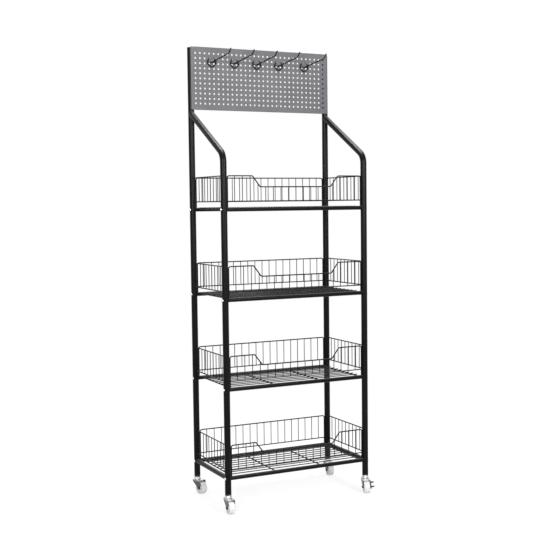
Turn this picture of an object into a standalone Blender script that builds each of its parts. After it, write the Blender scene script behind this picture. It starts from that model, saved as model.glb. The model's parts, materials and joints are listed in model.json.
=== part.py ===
"""Four-tier wire display rack on swivel casters, with a perforated header and hooks.

Units are metres, +Z is up, the front faces -Y and the floor is z = 0. The origin lies on the
floor, midway between the four posts.
"""

import math

import bmesh
import bpy
from mathutils import Matrix, Vector

# Fits between pieces that touch
CLEARANCE = 0.0003

# Posts: two straight ones at the back, two at the front that bend back into braces
POST_SPACING_X = 0.612
POST_SPACING_Y = 0.316
POST_DIAMETER = 0.025
POST_WALL = 0.0012
POST_SIDES = 8
POST_TOP_BELOW_PANEL = 0.005
BEND_ABOVE_TOP_TIER = 0.207
BEND_RADIUS = 0.050
BEND_STEPS = 5
BRACE_SLOPE = math.radians(29.4)

# Side rails that tie front and back posts together at the lowest tier
SIDE_RAIL_DIAMETER = 0.019

# Shelves: two tubes, four cross wires and the long wires that lie on them
TIER_COUNT = 4
FIRST_TIER_HEIGHT = 0.132
TIER_PITCH = 0.343
SHELF_TUBE_DIAMETER = 0.016
SHELF_TUBE_WALL = 0.0012
CROSS_WIRE_DIAMETER = 0.005
CROSS_WIRE_RISE = 0.0028
CROSS_WIRE_TO_POST = 0.012
INNER_CROSS_OFFSET = 0.100
LONG_WIRE_DIAMETER = 0.004
LONG_WIRE_COUNT = 9
LONG_WIRE_OVERHANG = 0.008
WELD_DEPTH = 0.0006
WIRE_BEND_STEPS = 2

# Guards round each shelf
GUARD_TOP_RISE = 0.127
GUARD_BOTTOM_RISE = 0.031
GUARD_FRAME_DIAMETER = 0.0048
GUARD_RAIL_DIAMETER = 0.0044
GUARD_CORNER_RADIUS = 0.008
LEG_TO_POST = 0.003
UPRIGHT_DIAMETER = 0.003
UPRIGHT_SIDES = 3
LONG_UPRIGHT_COUNT = 17
UPRIGHT_TO_LEG = 0.0293
SIDE_UPRIGHT_COUNT = 9
DIP_DEPTH = 0.042
DIP_FLOOR = 0.308
DIP_RUN = 0.032
DIP_BEND_RADIUS = 0.010

# Perforated header panel
PANEL_PAST_POST_AXIS = 0.004
PANEL_HEIGHT = 0.250
PANEL_ABOVE_BRACE = 0.015
PANEL_THICKNESS = 0.0012
FLANGE_DEPTH = 0.012
FLANGE_END_GAP = 0.003
HOLE_SIZE = 0.0065
HOLE_PITCH = 0.020
HOLE_TO_EDGE = 0.018

# Hooks, each hung by two prongs in neighbouring holes of one row
HOOK_ROW_FROM_TOP = 2
HOOK_PLACES = (-0.220, -0.120, -0.020, 0.080, 0.200)
HOOK_WIRE_DIAMETER = 0.0044
HOOK_BAR_DIAMETER = 0.0040
PRONG_RISE = 0.011
PRONG_BEND_RADIUS = 0.0028
LOOP_BULGE = 0.0080
LOOP_SHOULDER = 0.009
LOOP_WAIST = 0.019
LOOP_DROP = 0.036
LOOP_BEND_RADIUS = 0.008
BAR_DROP = 0.0155
ARM_LENGTH = 0.172
ARM_SLOPE = math.radians(5.0)
TIP_LENGTH = 0.026
TIP_SLOPE = math.radians(40.0)
TIP_BEND_RADIUS = 0.012

# Plastic pieces in the open ends of the posts
INSERT_COLLAR_HEIGHT = 0.005
INSERT_COLLAR_ROUND = 0.002
INSERT_DEPTH = 0.022
CAP_HEAD_HEIGHT = 0.003
CAP_HEAD_ROUND = 0.0015
CAP_DEPTH = 0.014

# Casters
TURNED_STEPS = 8
STEM_DIAMETER = 0.0098
STEM_LENGTH = 0.030
STEM_FLANGE_DIAMETER = 0.026
STEM_FLANGE_THICKNESS = 0.003
KINGPIN_DIAMETER = 0.0078
RIVET_DIAMETER = 0.012
RIVET_THICKNESS = 0.0025
FORK_HEAD_DIAMETER = 0.028
FORK_HEAD_HEIGHT = 0.0064
FORK_HEAD_SIDES = 12
FORK_SHEET = 0.002
FORK_SIDE_GAP = 0.0015
FORK_FRONT = 0.013
FORK_BACK_MARGIN = 0.002
FORK_SKIRT = 0.006
FORK_BOSS_RADIUS = 0.007
FORK_BOSS_STEPS = 6
TRAIL = 0.024
WHEEL_DIAMETER = 0.050
WHEEL_TO_FORK = 0.006
WHEEL_WIDTH = 0.024
WHEEL_STEPS = 16
WHEEL_ROUND = 0.002
WHEEL_DISH_DIAMETER = 0.034
WHEEL_DISH_DEPTH = 0.003
AXLE_DIAMETER = 0.006
AXLE_HEAD_DIAMETER = 0.010
AXLE_HEAD_THICKNESS = 0.003

# Brake lever on the front right caster
LEVER_THICKNESS = 0.002
LEVER_EYE_RADIUS = 0.0075
LEVER_EYE_STEPS = 6
LEVER_EYE_START = math.radians(225.0)
LEVER_RISE = 0.021
LEVER_REACH = 0.016
LIP_LENGTH = 0.013
LIP_WIDTH = 0.010
LIP_THICKNESS = 0.006

# Where the trail of each caster points, from straight ahead towards +X
CASTER_HEADINGS = {
    "front_left": math.radians(-4.0),
    "front_right": math.radians(-20.0),
    "back_left": math.radians(19.0),
    "back_right": math.radians(-8.0),
}
BRAKED_CASTERS = ("front_right",)

# Places worked out from the sizes above
POST_RADIUS = POST_DIAMETER / 2
POST_BORE_RADIUS = POST_RADIUS - POST_WALL / math.cos(math.pi / POST_SIDES)
FORK_WEB_BOTTOM = WHEEL_DIAMETER + WHEEL_TO_FORK
FORK_WEB_TOP = FORK_WEB_BOTTOM + FORK_SHEET
STEM_FLANGE_BOTTOM = FORK_WEB_TOP + FORK_HEAD_HEIGHT + CLEARANCE
CASTER_HEIGHT = STEM_FLANGE_BOTTOM + STEM_FLANGE_THICKNESS + CLEARANCE
FORK_BACK = TRAIL + FORK_BOSS_RADIUS + FORK_BACK_MARGIN
POST_FOOT = CASTER_HEIGHT + INSERT_COLLAR_HEIGHT + CLEARANCE
TOP_TIER_HEIGHT = FIRST_TIER_HEIGHT + (TIER_COUNT - 1) * TIER_PITCH
BEND_HEIGHT = TOP_TIER_HEIGHT + BEND_ABOVE_TOP_TIER
BRACE_TOP = BEND_HEIGHT + POST_SPACING_Y * math.tan(BRACE_SLOPE)
PANEL_BOTTOM = BRACE_TOP + PANEL_ABOVE_BRACE
PANEL_TOP = PANEL_BOTTOM + PANEL_HEIGHT
PANEL_WIDTH = POST_SPACING_X + 2 * PANEL_PAST_POST_AXIS
BACK_POST_TOP = PANEL_TOP - POST_TOP_BELOW_PANEL
INNER_SPAN_X = POST_SPACING_X - POST_DIAMETER
INNER_SPAN_Y = POST_SPACING_Y - POST_DIAMETER
HOLE_COLUMNS = 1 + int((PANEL_WIDTH - 2 * HOLE_TO_EDGE) / HOLE_PITCH)
HOLE_ROWS = 1 + int((PANEL_HEIGHT - 2 * HOLE_TO_EDGE) / HOLE_PITCH)
PANEL_BACK = POST_SPACING_Y / 2 - POST_RADIUS - CLEARANCE
PANEL_FRONT = PANEL_BACK - PANEL_THICKNESS
ORIGIN = (0.0, 0.0, 0.0)
UNTURNED = (0.0, 0.0, 0.0)
SIDES = {"left": -1, "right": 1}
ROWS = {"front": -1, "back": 1}
SQUARE_WIRE = 0
CUTTER_REACH = 4
BEND_SHARE = 0.45
SHARP_ANGLE = math.radians(40.0)
MERGE_DISTANCE = 1e-6
TUBE_ROUNDNESS = (POST_SIDES - 4) // 2


def clear_scene():
    for obj in list(bpy.data.objects):
        bpy.data.objects.remove(obj, do_unlink=True)


def new_collection(name):
    collection = bpy.data.collections.new(name)
    bpy.context.scene.collection.children.link(collection)
    return collection


def new_material(name, colour, roughness, metallic):
    material = bpy.data.materials.new(name)
    material.use_nodes = True
    shader = material.node_tree.nodes["Principled BSDF"]
    shader.inputs["Base Color"].default_value = (*colour, 1.0)
    shader.inputs["Roughness"].default_value = roughness
    shader.inputs["Metallic"].default_value = metallic
    material.diffuse_color = (*colour, 1.0)
    return material


def mesh_of(work):
    """Turn a bmesh into a smooth-shaded mesh and free it."""
    bmesh.ops.recalc_face_normals(work, faces=work.faces)
    mesh = bpy.data.meshes.new("shape")
    work.to_mesh(mesh)
    work.free()
    mesh.shade_smooth()
    mesh.set_sharp_from_angle(angle=SHARP_ANGLE)
    return mesh


def is_flat(face):
    """Tell whether all of a face's corners lie in its plane."""
    first = face.verts[0].co
    return all(abs((spot.co - first).dot(face.normal)) < MERGE_DISTANCE for spot in face.verts)


def baked(obj):
    """Return a temporary object's evaluated mesh, with its seams welded, and remove the object."""
    bpy.context.view_layer.update()
    graph = bpy.context.evaluated_depsgraph_get()
    evaluated = bpy.data.meshes.new_from_object(obj.evaluated_get(graph))
    work = bmesh.new()
    work.from_mesh(evaluated)
    bmesh.ops.remove_doubles(work, verts=work.verts, dist=MERGE_DISTANCE)
    bent = [face for face in work.faces if not is_flat(face)]
    bmesh.ops.triangulate(work, faces=bent)
    bpy.data.objects.remove(obj, do_unlink=True)
    return mesh_of(work)


def temporary(data):
    obj = bpy.data.objects.new("temporary", data)
    bpy.context.scene.collection.objects.link(obj)
    return obj


def boolean(mesh, other, operation):
    """Return mesh joined with other, or cut by it."""
    target = temporary(mesh)
    tool = temporary(other)
    step = target.modifiers.new("join or cut", "BOOLEAN")
    step.operation = operation
    step.object = tool
    step.solver = "EXACT"
    result = baked(target)
    bpy.data.objects.remove(tool, do_unlink=True)
    return result


def union(first, *others):
    for other in others:
        first = boolean(first, other, "UNION")
    return first


def cut(first, *others):
    for other in others:
        first = boolean(first, other, "DIFFERENCE")
    return first


def combined(meshes):
    """Return one mesh that holds several separate ones."""
    work = bmesh.new()
    for mesh in meshes:
        work.from_mesh(mesh)
    return mesh_of(work)


def bevelled_curve(points, diameter, roundness, tilt, capped):
    data = bpy.data.curves.new("path", "CURVE")
    data.dimensions = "3D"
    data.twist_mode = "MINIMUM"
    data.bevel_depth = diameter / 2
    data.bevel_resolution = roundness
    data.use_fill_caps = capped
    spline = data.splines.new("POLY")
    spline.points.add(len(points) - 1)
    for spot, point in zip(spline.points, points):
        spot.co = (*point, 1.0)
        spot.tilt = tilt
    return temporary(data)


def wire(points, diameter, roundness, tilt=0.0):
    """Return a closed mesh of a round rod along the points."""
    return baked(bevelled_curve(points, diameter, roundness, tilt, True))


def tube(points, diameter, wall, roundness):
    """Return a closed mesh of a hollow tube along the points, open at both ends."""
    obj = bevelled_curve(points, diameter, roundness, 0.0, False)
    shell = obj.modifiers.new("wall", "SOLIDIFY")
    shell.thickness = wall
    shell.offset = -1.0
    shell.use_even_offset = True
    return baked(obj)


def rounded_path(corners, radii, steps):
    """Return the corners with each inner one replaced by an arc of its own radius."""
    path = [Vector(corners[0])]
    for before, corner, after, radius in zip(corners, corners[1:], corners[2:], radii):
        corner = Vector(corner)
        inward = (Vector(before) - corner).normalized()
        outward = (Vector(after) - corner).normalized()
        turn = math.pi - inward.angle(outward)
        reach = radius * math.tan(turn / 2)
        centre = corner + (inward + outward).normalized() * radius / math.cos(turn / 2)
        start = corner + inward * reach - centre
        axis = start.cross(corner + outward * reach - centre)
        for step in range(steps + 1):
            path.append(centre + Matrix.Rotation(turn * step / steps, 3, axis) @ start)
    path.append(Vector(corners[-1]))
    return path


def mirrored(points):
    """Return the points in reverse order on the other side of x = 0."""
    return [(-x, y, z) for x, y, z in reversed(points)]


def turned(profile, steps):
    """Return a solid of revolution about Z from (radius, height) pairs, top to bottom outside."""
    work = bmesh.new()
    spots = [work.verts.new((radius, 0.0, height)) for radius, height in profile]
    for start, end in zip(spots, spots[1:]):
        work.edges.new((start, end))
    if profile[0][0] > 0.0:
        work.edges.new((spots[-1], spots[0]))
    mesh = bpy.data.meshes.new("profile")
    work.to_mesh(mesh)
    work.free()
    obj = temporary(mesh)
    screw = obj.modifiers.new("turn", "SCREW")
    screw.steps = steps
    screw.render_steps = steps
    screw.use_merge_vertices = True
    screw.merge_threshold = MERGE_DISTANCE
    return baked(obj)


def rod(radius, length, segments, centre=ORIGIN, axis="Z"):
    """Return a capped cylinder along an axis."""
    turns = {"X": Matrix.Rotation(math.pi / 2, 4, "Y"), "Y": Matrix.Rotation(math.pi / 2, 4, "X")}
    pose = Matrix.Translation(centre) @ turns.get(axis, Matrix.Identity(4))
    work = bmesh.new()
    bmesh.ops.create_cone(
        work,
        cap_ends=True,
        segments=segments,
        radius1=radius,
        radius2=radius,
        depth=length,
        matrix=pose,
    )
    return mesh_of(work)


def block(low, high):
    """Return a box between two corners."""
    low, high = Vector(low), Vector(high)
    work = bmesh.new()
    pose = Matrix.Translation((low + high) / 2) @ Matrix.Diagonal((*(high - low), 1.0))
    bmesh.ops.create_cube(work, size=1.0, matrix=pose)
    return mesh_of(work)


def extruded_outline(outline, start, end):
    """Return a flat (y, z) outline extruded along X from start to end."""
    data = bpy.data.curves.new("outline", "CURVE")
    data.dimensions = "2D"
    data.fill_mode = "BOTH"
    data.extrude = (end - start) / 2
    spline = data.splines.new("POLY")
    spline.points.add(len(outline) - 1)
    for spot, (across, up) in zip(spline.points, outline):
        spot.co = (across, up, 0.0, 1.0)
    spline.use_cyclic_u = True
    mesh = baked(temporary(data))
    # The outline's own X and Y become Y and Z.
    turn = Matrix(((0, 0, 1, 0), (1, 0, 0, 0), (0, 1, 0, 0), (0, 0, 0, 1)))
    mesh.transform(Matrix.Translation(((start + end) / 2, 0.0, 0.0)) @ turn)
    return mesh


def place(name, mesh, material, collection, location=ORIGIN, rotation=UNTURNED, parent=None):
    """Add a named part that shows the mesh."""
    obj = bpy.data.objects.new(name, mesh)
    collection.objects.link(obj)
    if not mesh.materials:
        mesh.materials.append(material)
    obj.location = location
    obj.rotation_euler = rotation
    obj.parent = parent
    return obj


def tier_height(tier):
    """Return the height of a tier's shelf tubes, counting from 1 at the bottom."""
    return FIRST_TIER_HEIGHT + (tier - 1) * TIER_PITCH


def build_posts(parts, steel):
    half_x = POST_SPACING_X / 2
    half_y = POST_SPACING_Y / 2
    back_mesh = tube(
        [(0.0, 0.0, POST_FOOT), (0.0, 0.0, BACK_POST_TOP)], POST_DIAMETER, POST_WALL, TUBE_ROUNDNESS
    )
    corners = [
        (0.0, -half_y, POST_FOOT),
        (0.0, -half_y, BEND_HEIGHT),
        (0.0, half_y, BRACE_TOP),
    ]
    bent = tube(rounded_path(corners, [BEND_RADIUS], BEND_STEPS), POST_DIAMETER, POST_WALL, TUBE_ROUNDNESS)
    # The brace is coped to the round of the back post that it is welded to.
    cope = rod(
        POST_RADIUS + CLEARANCE / math.cos(math.pi / POST_SIDES),
        CUTTER_REACH * POST_DIAMETER,
        POST_SIDES,
        (0.0, half_y, BRACE_TOP),
    )
    front_mesh = cut(bent, cope)
    rail_reach = INNER_SPAN_Y / 2 - CLEARANCE
    rail_mesh = tube(
        [(0.0, -rail_reach, 0.0), (0.0, rail_reach, 0.0)], SIDE_RAIL_DIAMETER, POST_WALL, TUBE_ROUNDNESS
    )
    for side, sign in SIDES.items():
        place(f"{side}_back_post", back_mesh, steel, parts, (sign * half_x, half_y, 0.0))
        place(f"{side}_front_post", front_mesh, steel, parts, (sign * half_x, 0.0, 0.0))
        place(f"{side}_base_rail", rail_mesh, steel, parts, (sign * half_x, 0.0, tier_height(1)))


def build_post_ends(parts, plastic):
    spigot = POST_BORE_RADIUS - CLEARANCE
    bore = STEM_DIAMETER / 2 + CLEARANCE
    top = CASTER_HEIGHT + INSERT_COLLAR_HEIGHT
    insert_mesh = turned(
        [
            (bore, top + INSERT_DEPTH),
            (spigot, top + INSERT_DEPTH),
            (spigot, top),
            (POST_RADIUS, top),
            (POST_RADIUS, CASTER_HEIGHT + INSERT_COLLAR_ROUND),
            (POST_RADIUS - INSERT_COLLAR_ROUND, CASTER_HEIGHT),
            (bore, CASTER_HEIGHT),
        ],
        TURNED_STEPS,
    )
    seat = BACK_POST_TOP + CLEARANCE
    cap_mesh = turned(
        [
            (0.0, seat + CAP_HEAD_HEIGHT),
            (POST_RADIUS - CAP_HEAD_ROUND, seat + CAP_HEAD_HEIGHT),
            (POST_RADIUS, seat + CAP_HEAD_HEIGHT - CAP_HEAD_ROUND),
            (POST_RADIUS, seat),
            (spigot, seat),
            (spigot, seat - CAP_DEPTH),
            (0.0, seat - CAP_DEPTH),
        ],
        TURNED_STEPS,
    )
    for side, sign in SIDES.items():
        x = sign * POST_SPACING_X / 2
        place(f"{side}_post_cap", cap_mesh, plastic, parts, (x, POST_SPACING_Y / 2, 0.0))
        for row, depth in ROWS.items():
            y = depth * POST_SPACING_Y / 2
            place(f"{row}_{side}_post_insert", insert_mesh, plastic, parts, (x, y, 0.0))


def shelf_mesh():
    """Return one welded shelf, with z = 0 at the middle of its two tubes."""
    half_y = POST_SPACING_Y / 2
    tube_reach = INNER_SPAN_X / 2 - CLEARANCE
    long_rise = CROSS_WIRE_RISE + (CROSS_WIRE_DIAMETER + LONG_WIRE_DIAMETER) / 2 - WELD_DEPTH
    outer_cross = INNER_SPAN_X / 2 - CROSS_WIRE_TO_POST
    long_reach = outer_cross + LONG_WIRE_OVERHANG
    tubes = combined(
        tube(
            [(-tube_reach, y, 0.0), (tube_reach, y, 0.0)],
            SHELF_TUBE_DIAMETER,
            SHELF_TUBE_WALL,
            TUBE_ROUNDNESS,
        )
        for y in (-half_y, half_y)
    )
    # The inner cross wires lie just under the long wires, and the outer ones are welded to them.
    cross_places = {
        -outer_cross: CROSS_WIRE_RISE,
        -INNER_CROSS_OFFSET: CROSS_WIRE_RISE - WELD_DEPTH - CLEARANCE,
        INNER_CROSS_OFFSET: CROSS_WIRE_RISE - WELD_DEPTH - CLEARANCE,
        outer_cross: CROSS_WIRE_RISE,
    }
    cross_reach = half_y - SHELF_TUBE_DIAMETER / 2 + 2 * SHELF_TUBE_WALL
    cross_wires = combined(
        wire([(x, -cross_reach, z), (x, cross_reach, z)], CROSS_WIRE_DIAMETER, SQUARE_WIRE)
        for x, z in cross_places.items()
    )
    pitch = POST_SPACING_Y / (LONG_WIRE_COUNT + 1)
    long_wires = combined(
        wire([(-long_reach, y, long_rise), (long_reach, y, long_rise)], LONG_WIRE_DIAMETER, SQUARE_WIRE)
        for y in (-half_y + pitch * (index + 1) for index in range(LONG_WIRE_COUNT))
    )
    return union(tubes, cross_wires, long_wires)


def uprights(stations, bottom):
    """Return the upright wires of a guard at (x, top height) stations."""
    return combined(
        rod(UPRIGHT_DIAMETER / 2, top - bottom, UPRIGHT_SIDES, (x, 0.0, (top + bottom) / 2))
        for x, top in stations
    )


def dipped_height(x, dip):
    """Return the height of a guard's top wire at x, with a dip of the given depth in its middle."""
    share = (DIP_FLOOR / 2 + DIP_RUN - abs(x)) / DIP_RUN
    return GUARD_TOP_RISE - dip * min(max(share, 0.0), 1.0)


def long_guard_mesh(dip):
    """Return a front or back guard: a bent frame wire, a lower rail and uprights."""
    reach = INNER_SPAN_X / 2 - LEG_TO_POST
    foot = SHELF_TUBE_DIAMETER / 2 + CLEARANCE
    left = [(-reach, 0.0, foot), (-reach, 0.0, GUARD_TOP_RISE)]
    radii = [GUARD_CORNER_RADIUS]
    if dip > 0.0:
        left.append((-DIP_FLOOR / 2 - DIP_RUN, 0.0, GUARD_TOP_RISE))
        left.append((-DIP_FLOOR / 2, 0.0, GUARD_TOP_RISE - dip))
        radii += [DIP_BEND_RADIUS, DIP_BEND_RADIUS]
    path = rounded_path(left + mirrored(left), radii + radii[::-1], WIRE_BEND_STEPS)
    frame = wire(path, GUARD_FRAME_DIAMETER, SQUARE_WIRE, math.pi / 4)
    rail = wire(
        [(-reach, 0.0, GUARD_BOTTOM_RISE), (reach, 0.0, GUARD_BOTTOM_RISE)],
        GUARD_RAIL_DIAMETER,
        SQUARE_WIRE,
        math.pi / 4,
    )
    pitch = 2 * (reach - UPRIGHT_TO_LEG) / (LONG_UPRIGHT_COUNT - 1)
    middle = (LONG_UPRIGHT_COUNT - 1) / 2
    spots = [(index - middle) * pitch for index in range(LONG_UPRIGHT_COUNT)]
    bars = uprights([(x, dipped_height(x, dip)) for x in spots], GUARD_BOTTOM_RISE)
    return union(frame, rail, bars)


def side_guard_mesh():
    """Return a side guard, which runs along X here and is turned when it is placed."""
    reach = INNER_SPAN_Y / 2 - CLEARANCE
    rails = combined(
        wire([(-reach, 0.0, z), (reach, 0.0, z)], GUARD_FRAME_DIAMETER, SQUARE_WIRE, math.pi / 4)
        for z in (GUARD_BOTTOM_RISE, GUARD_TOP_RISE)
    )
    pitch = INNER_SPAN_Y / (SIDE_UPRIGHT_COUNT + 1)
    middle = (SIDE_UPRIGHT_COUNT - 1) / 2
    spots = [(index - middle) * pitch for index in range(SIDE_UPRIGHT_COUNT)]
    return union(rails, uprights([(x, GUARD_TOP_RISE) for x in spots], GUARD_BOTTOM_RISE))


def build_tiers(parts, steel):
    shelf = shelf_mesh()
    front_guard = long_guard_mesh(DIP_DEPTH)
    back_guard = long_guard_mesh(0.0)
    side_guard = side_guard_mesh()
    half_x = POST_SPACING_X / 2
    half_y = POST_SPACING_Y / 2
    for tier in range(1, TIER_COUNT + 1):
        z = tier_height(tier)
        place(f"shelf_{tier}", shelf, steel, parts, (0.0, 0.0, z))
        place(f"front_guard_{tier}", front_guard, steel, parts, (0.0, -half_y, z))
        place(f"back_guard_{tier}", back_guard, steel, parts, (0.0, half_y, z))
        for side, sign in SIDES.items():
            turn = (0.0, 0.0, math.pi / 2)
            place(f"{side}_guard_{tier}", side_guard, steel, parts, (sign * half_x, 0.0, z), turn)


def hole_x(column):
    """Return the x of a hole column, counting from 1 at the left."""
    return (column - (HOLE_COLUMNS + 1) / 2) * HOLE_PITCH


def hole_z(row):
    """Return the height of a hole row, counting from 1 at the top."""
    middle = (PANEL_BOTTOM + PANEL_TOP) / 2
    return middle + ((HOLE_ROWS + 1) / 2 - row) * HOLE_PITCH


def column_left_of(x):
    """Return the hole column whose gap to the next one lies nearest to x."""
    return round(x / HOLE_PITCH + HOLE_COLUMNS / 2)


def build_pegboard(parts, cutters, paint):
    half = PANEL_WIDTH / 2
    flange = INNER_SPAN_X / 2 - FLANGE_END_GAP
    sheet = block((-half, PANEL_FRONT, PANEL_BOTTOM), (half, PANEL_BACK, PANEL_TOP))
    folds = combined(
        block((-flange, PANEL_FRONT + CLEARANCE, low), (flange, PANEL_FRONT + FLANGE_DEPTH, high))
        for low, high in (
            (PANEL_BOTTOM + CLEARANCE, PANEL_BOTTOM + PANEL_THICKNESS),
            (PANEL_TOP - PANEL_THICKNESS, PANEL_TOP - CLEARANCE),
        )
    )
    board = place("pegboard", union(sheet, folds), paint, parts)
    half_hole = HOLE_SIZE / 2
    punches = combined(
        block(
            (hole_x(column) - half_hole, PANEL_FRONT - FLANGE_DEPTH, hole_z(row) - half_hole),
            (hole_x(column) + half_hole, PANEL_BACK + PANEL_THICKNESS, hole_z(row) + half_hole),
        )
        for column in range(1, HOLE_COLUMNS + 1)
        for row in range(1, HOLE_ROWS + 1)
    )
    punch = place("pegboard_punch", punches, paint, cutters)
    punch.hide_render = True
    punch.display_type = "WIRE"
    holes = board.modifiers.new("holes", "BOOLEAN")
    holes.object = punch
    holes.solver = "EXACT"


def hook_mesh():
    """Return a hook, with its origin between its two prongs in the middle of the panel's sheet."""
    half = HOLE_PITCH / 2
    radius = HOOK_WIRE_DIAMETER / 2
    face = -PANEL_THICKNESS / 2 - CLEARANCE - radius
    behind = PANEL_THICKNESS / 2 + CLEARANCE + radius
    prong = [(-half, behind, PRONG_RISE), (-half, behind, 0.0), (-half, face, 0.0)]
    leg = [
        (-half - LOOP_BULGE, face, -LOOP_SHOULDER),
        (-half - LOOP_BULGE, face, -LOOP_WAIST),
    ]
    left = prong + leg
    prong_bend = min(PRONG_BEND_RADIUS, BEND_SHARE * (behind - face))
    radii = 2 * [prong_bend] + 2 * [LOOP_BEND_RADIUS]
    corners = left + [(0.0, face, -LOOP_DROP)] + mirrored(left)
    path = rounded_path(corners, radii + [LOOP_BEND_RADIUS] + radii[::-1], WIRE_BEND_STEPS)
    loop = wire(path, HOOK_WIRE_DIAMETER, SQUARE_WIRE)
    reach = half + LOOP_BULGE
    bar = wire([(-reach, face, -BAR_DROP), (reach, face, -BAR_DROP)], HOOK_BAR_DIAMETER, SQUARE_WIRE)
    bend = Vector((0.0, face - ARM_LENGTH, -BAR_DROP + ARM_LENGTH * math.tan(ARM_SLOPE)))
    tip = bend + TIP_LENGTH * Vector((0.0, -math.cos(TIP_SLOPE), math.sin(TIP_SLOPE)))
    arm_path = rounded_path([(0.0, face, -BAR_DROP), bend, tip], [TIP_BEND_RADIUS], WIRE_BEND_STEPS)
    arm = wire(arm_path, HOOK_WIRE_DIAMETER, SQUARE_WIRE)
    return union(loop, bar, arm)


def build_hooks(parts, steel):
    mesh = hook_mesh()
    sheet_middle = (PANEL_FRONT + PANEL_BACK) / 2
    for number, wanted in enumerate(HOOK_PLACES, start=1):
        x = hole_x(column_left_of(wanted)) + HOLE_PITCH / 2
        place(f"hook_{number}", mesh, steel, parts, (x, sheet_middle, hole_z(HOOK_ROW_FROM_TOP)))


def bore(diameter, depth, middle, axis="Z"):
    """Return a cutter for a hole whose flats clear a turned shaft of the diameter."""
    radius = (diameter / 2 + CLEARANCE) / math.cos(math.pi / TURNED_STEPS)
    return rod(radius, depth, TURNED_STEPS, middle, axis)


def stem_mesh():
    flange_top = STEM_FLANGE_BOTTOM + STEM_FLANGE_THICKNESS
    rivet = FORK_WEB_BOTTOM - CLEARANCE
    return turned(
        [
            (0.0, CASTER_HEIGHT + STEM_LENGTH),
            (STEM_DIAMETER / 2, CASTER_HEIGHT + STEM_LENGTH),
            (STEM_DIAMETER / 2, flange_top),
            (STEM_FLANGE_DIAMETER / 2, flange_top),
            (STEM_FLANGE_DIAMETER / 2, STEM_FLANGE_BOTTOM),
            (KINGPIN_DIAMETER / 2, STEM_FLANGE_BOTTOM),
            (KINGPIN_DIAMETER / 2, rivet),
            (RIVET_DIAMETER / 2, rivet),
            (RIVET_DIAMETER / 2, rivet - RIVET_THICKNESS),
            (0.0, rivet - RIVET_THICKNESS),
        ],
        TURNED_STEPS,
    )


def fork_mesh():
    """Return the pressed fork: a folded channel that tapers to the axle, under a raised race."""
    axle_z = WHEEL_DIAMETER / 2
    inner = WHEEL_WIDTH / 2 + FORK_SIDE_GAP
    outer = inner + FORK_SHEET
    skirt = FORK_WEB_BOTTOM - FORK_SKIRT
    boss = []
    for step in range(FORK_BOSS_STEPS + 1):
        angle = math.pi * (1 + step / FORK_BOSS_STEPS)
        across = -TRAIL + FORK_BOSS_RADIUS * math.cos(angle)
        boss.append((across, axle_z + FORK_BOSS_RADIUS * math.sin(angle)))
    outline = [(-FORK_BACK, FORK_WEB_TOP), (-FORK_BACK, skirt)] + boss
    outline += [(FORK_FRONT, skirt), (FORK_FRONT, FORK_WEB_TOP)]
    channel = extruded_outline(outline, -outer, outer)
    head_depth = FORK_HEAD_HEIGHT + FORK_SHEET / 2
    head_middle = (0.0, 0.0, FORK_WEB_TOP + FORK_HEAD_HEIGHT - head_depth / 2)
    head = rod(FORK_HEAD_DIAMETER / 2, head_depth, FORK_HEAD_SIDES, head_middle)
    well = block(
        (-inner, -CUTTER_REACH * FORK_BACK, 0.0),
        (inner, CUTTER_REACH * FORK_FRONT, FORK_WEB_BOTTOM),
    )
    kingpin_hole = bore(KINGPIN_DIAMETER, CUTTER_REACH * head_depth, head_middle)
    axle_hole = bore(AXLE_DIAMETER, CUTTER_REACH * outer, (0.0, -TRAIL, axle_z), "X")
    return cut(union(channel, head), well, kingpin_hole, axle_hole)


def axle_mesh(right_extra):
    """Return the axle bolt along Z, with room for a lever before its upper head."""
    leg = WHEEL_WIDTH / 2 + FORK_SIDE_GAP + FORK_SHEET + CLEARANCE
    high = leg + right_extra
    shank = AXLE_DIAMETER / 2
    head = AXLE_HEAD_DIAMETER / 2
    return turned(
        [
            (0.0, high + AXLE_HEAD_THICKNESS),
            (head, high + AXLE_HEAD_THICKNESS),
            (head, high),
            (shank, high),
            (shank, -leg),
            (head, -leg),
            (head, -leg - AXLE_HEAD_THICKNESS),
            (0.0, -leg - AXLE_HEAD_THICKNESS),
        ],
        TURNED_STEPS,
    )


def wheel_mesh():
    """Return a dished wheel along Z."""
    half = WHEEL_WIDTH / 2
    radius = WHEEL_DIAMETER / 2
    bore = AXLE_DIAMETER / 2 + 2 * CLEARANCE
    face = [
        (bore, half),
        (WHEEL_DISH_DIAMETER / 2, half - WHEEL_DISH_DEPTH),
        (radius - WHEEL_ROUND, half),
        (radius, half - WHEEL_ROUND),
    ]
    return turned(face + [(r, -z) for r, z in reversed(face)], WHEEL_STEPS)


def lever_mesh():
    """Return the brake lever, with its origin on the axle at the fork's outer face."""
    start = CLEARANCE
    end = start + LEVER_THICKNESS
    eye = []
    for step in range(LEVER_EYE_STEPS + 1):
        angle = LEVER_EYE_START + math.pi * step / LEVER_EYE_STEPS
        eye.append((LEVER_EYE_RADIUS * math.cos(angle), LEVER_EYE_RADIUS * math.sin(angle)))
    outline = eye + [
        (LIP_WIDTH / 2, LEVER_RISE),
        (-LIP_WIDTH / 2, LEVER_RISE),
        (-LEVER_REACH, LEVER_EYE_RADIUS),
        (-LEVER_REACH, -LIP_THICKNESS),
    ]
    plate = extruded_outline(outline, start, end)
    lips = combined(
        block((start + CLEARANCE, back, top - LIP_THICKNESS), (end + LIP_LENGTH, front, top))
        for back, front, top in (
            (-LIP_WIDTH / 2 + CLEARANCE, LIP_WIDTH / 2 - CLEARANCE, LEVER_RISE - CLEARANCE),
            (-LEVER_REACH + CLEARANCE, -LEVER_EYE_RADIUS, LIP_THICKNESS),
        )
    )
    eye_hole = bore(AXLE_DIAMETER, CUTTER_REACH * LEVER_THICKNESS, (end, 0.0, 0.0), "X")
    return cut(union(plate, lips), eye_hole)


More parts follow.
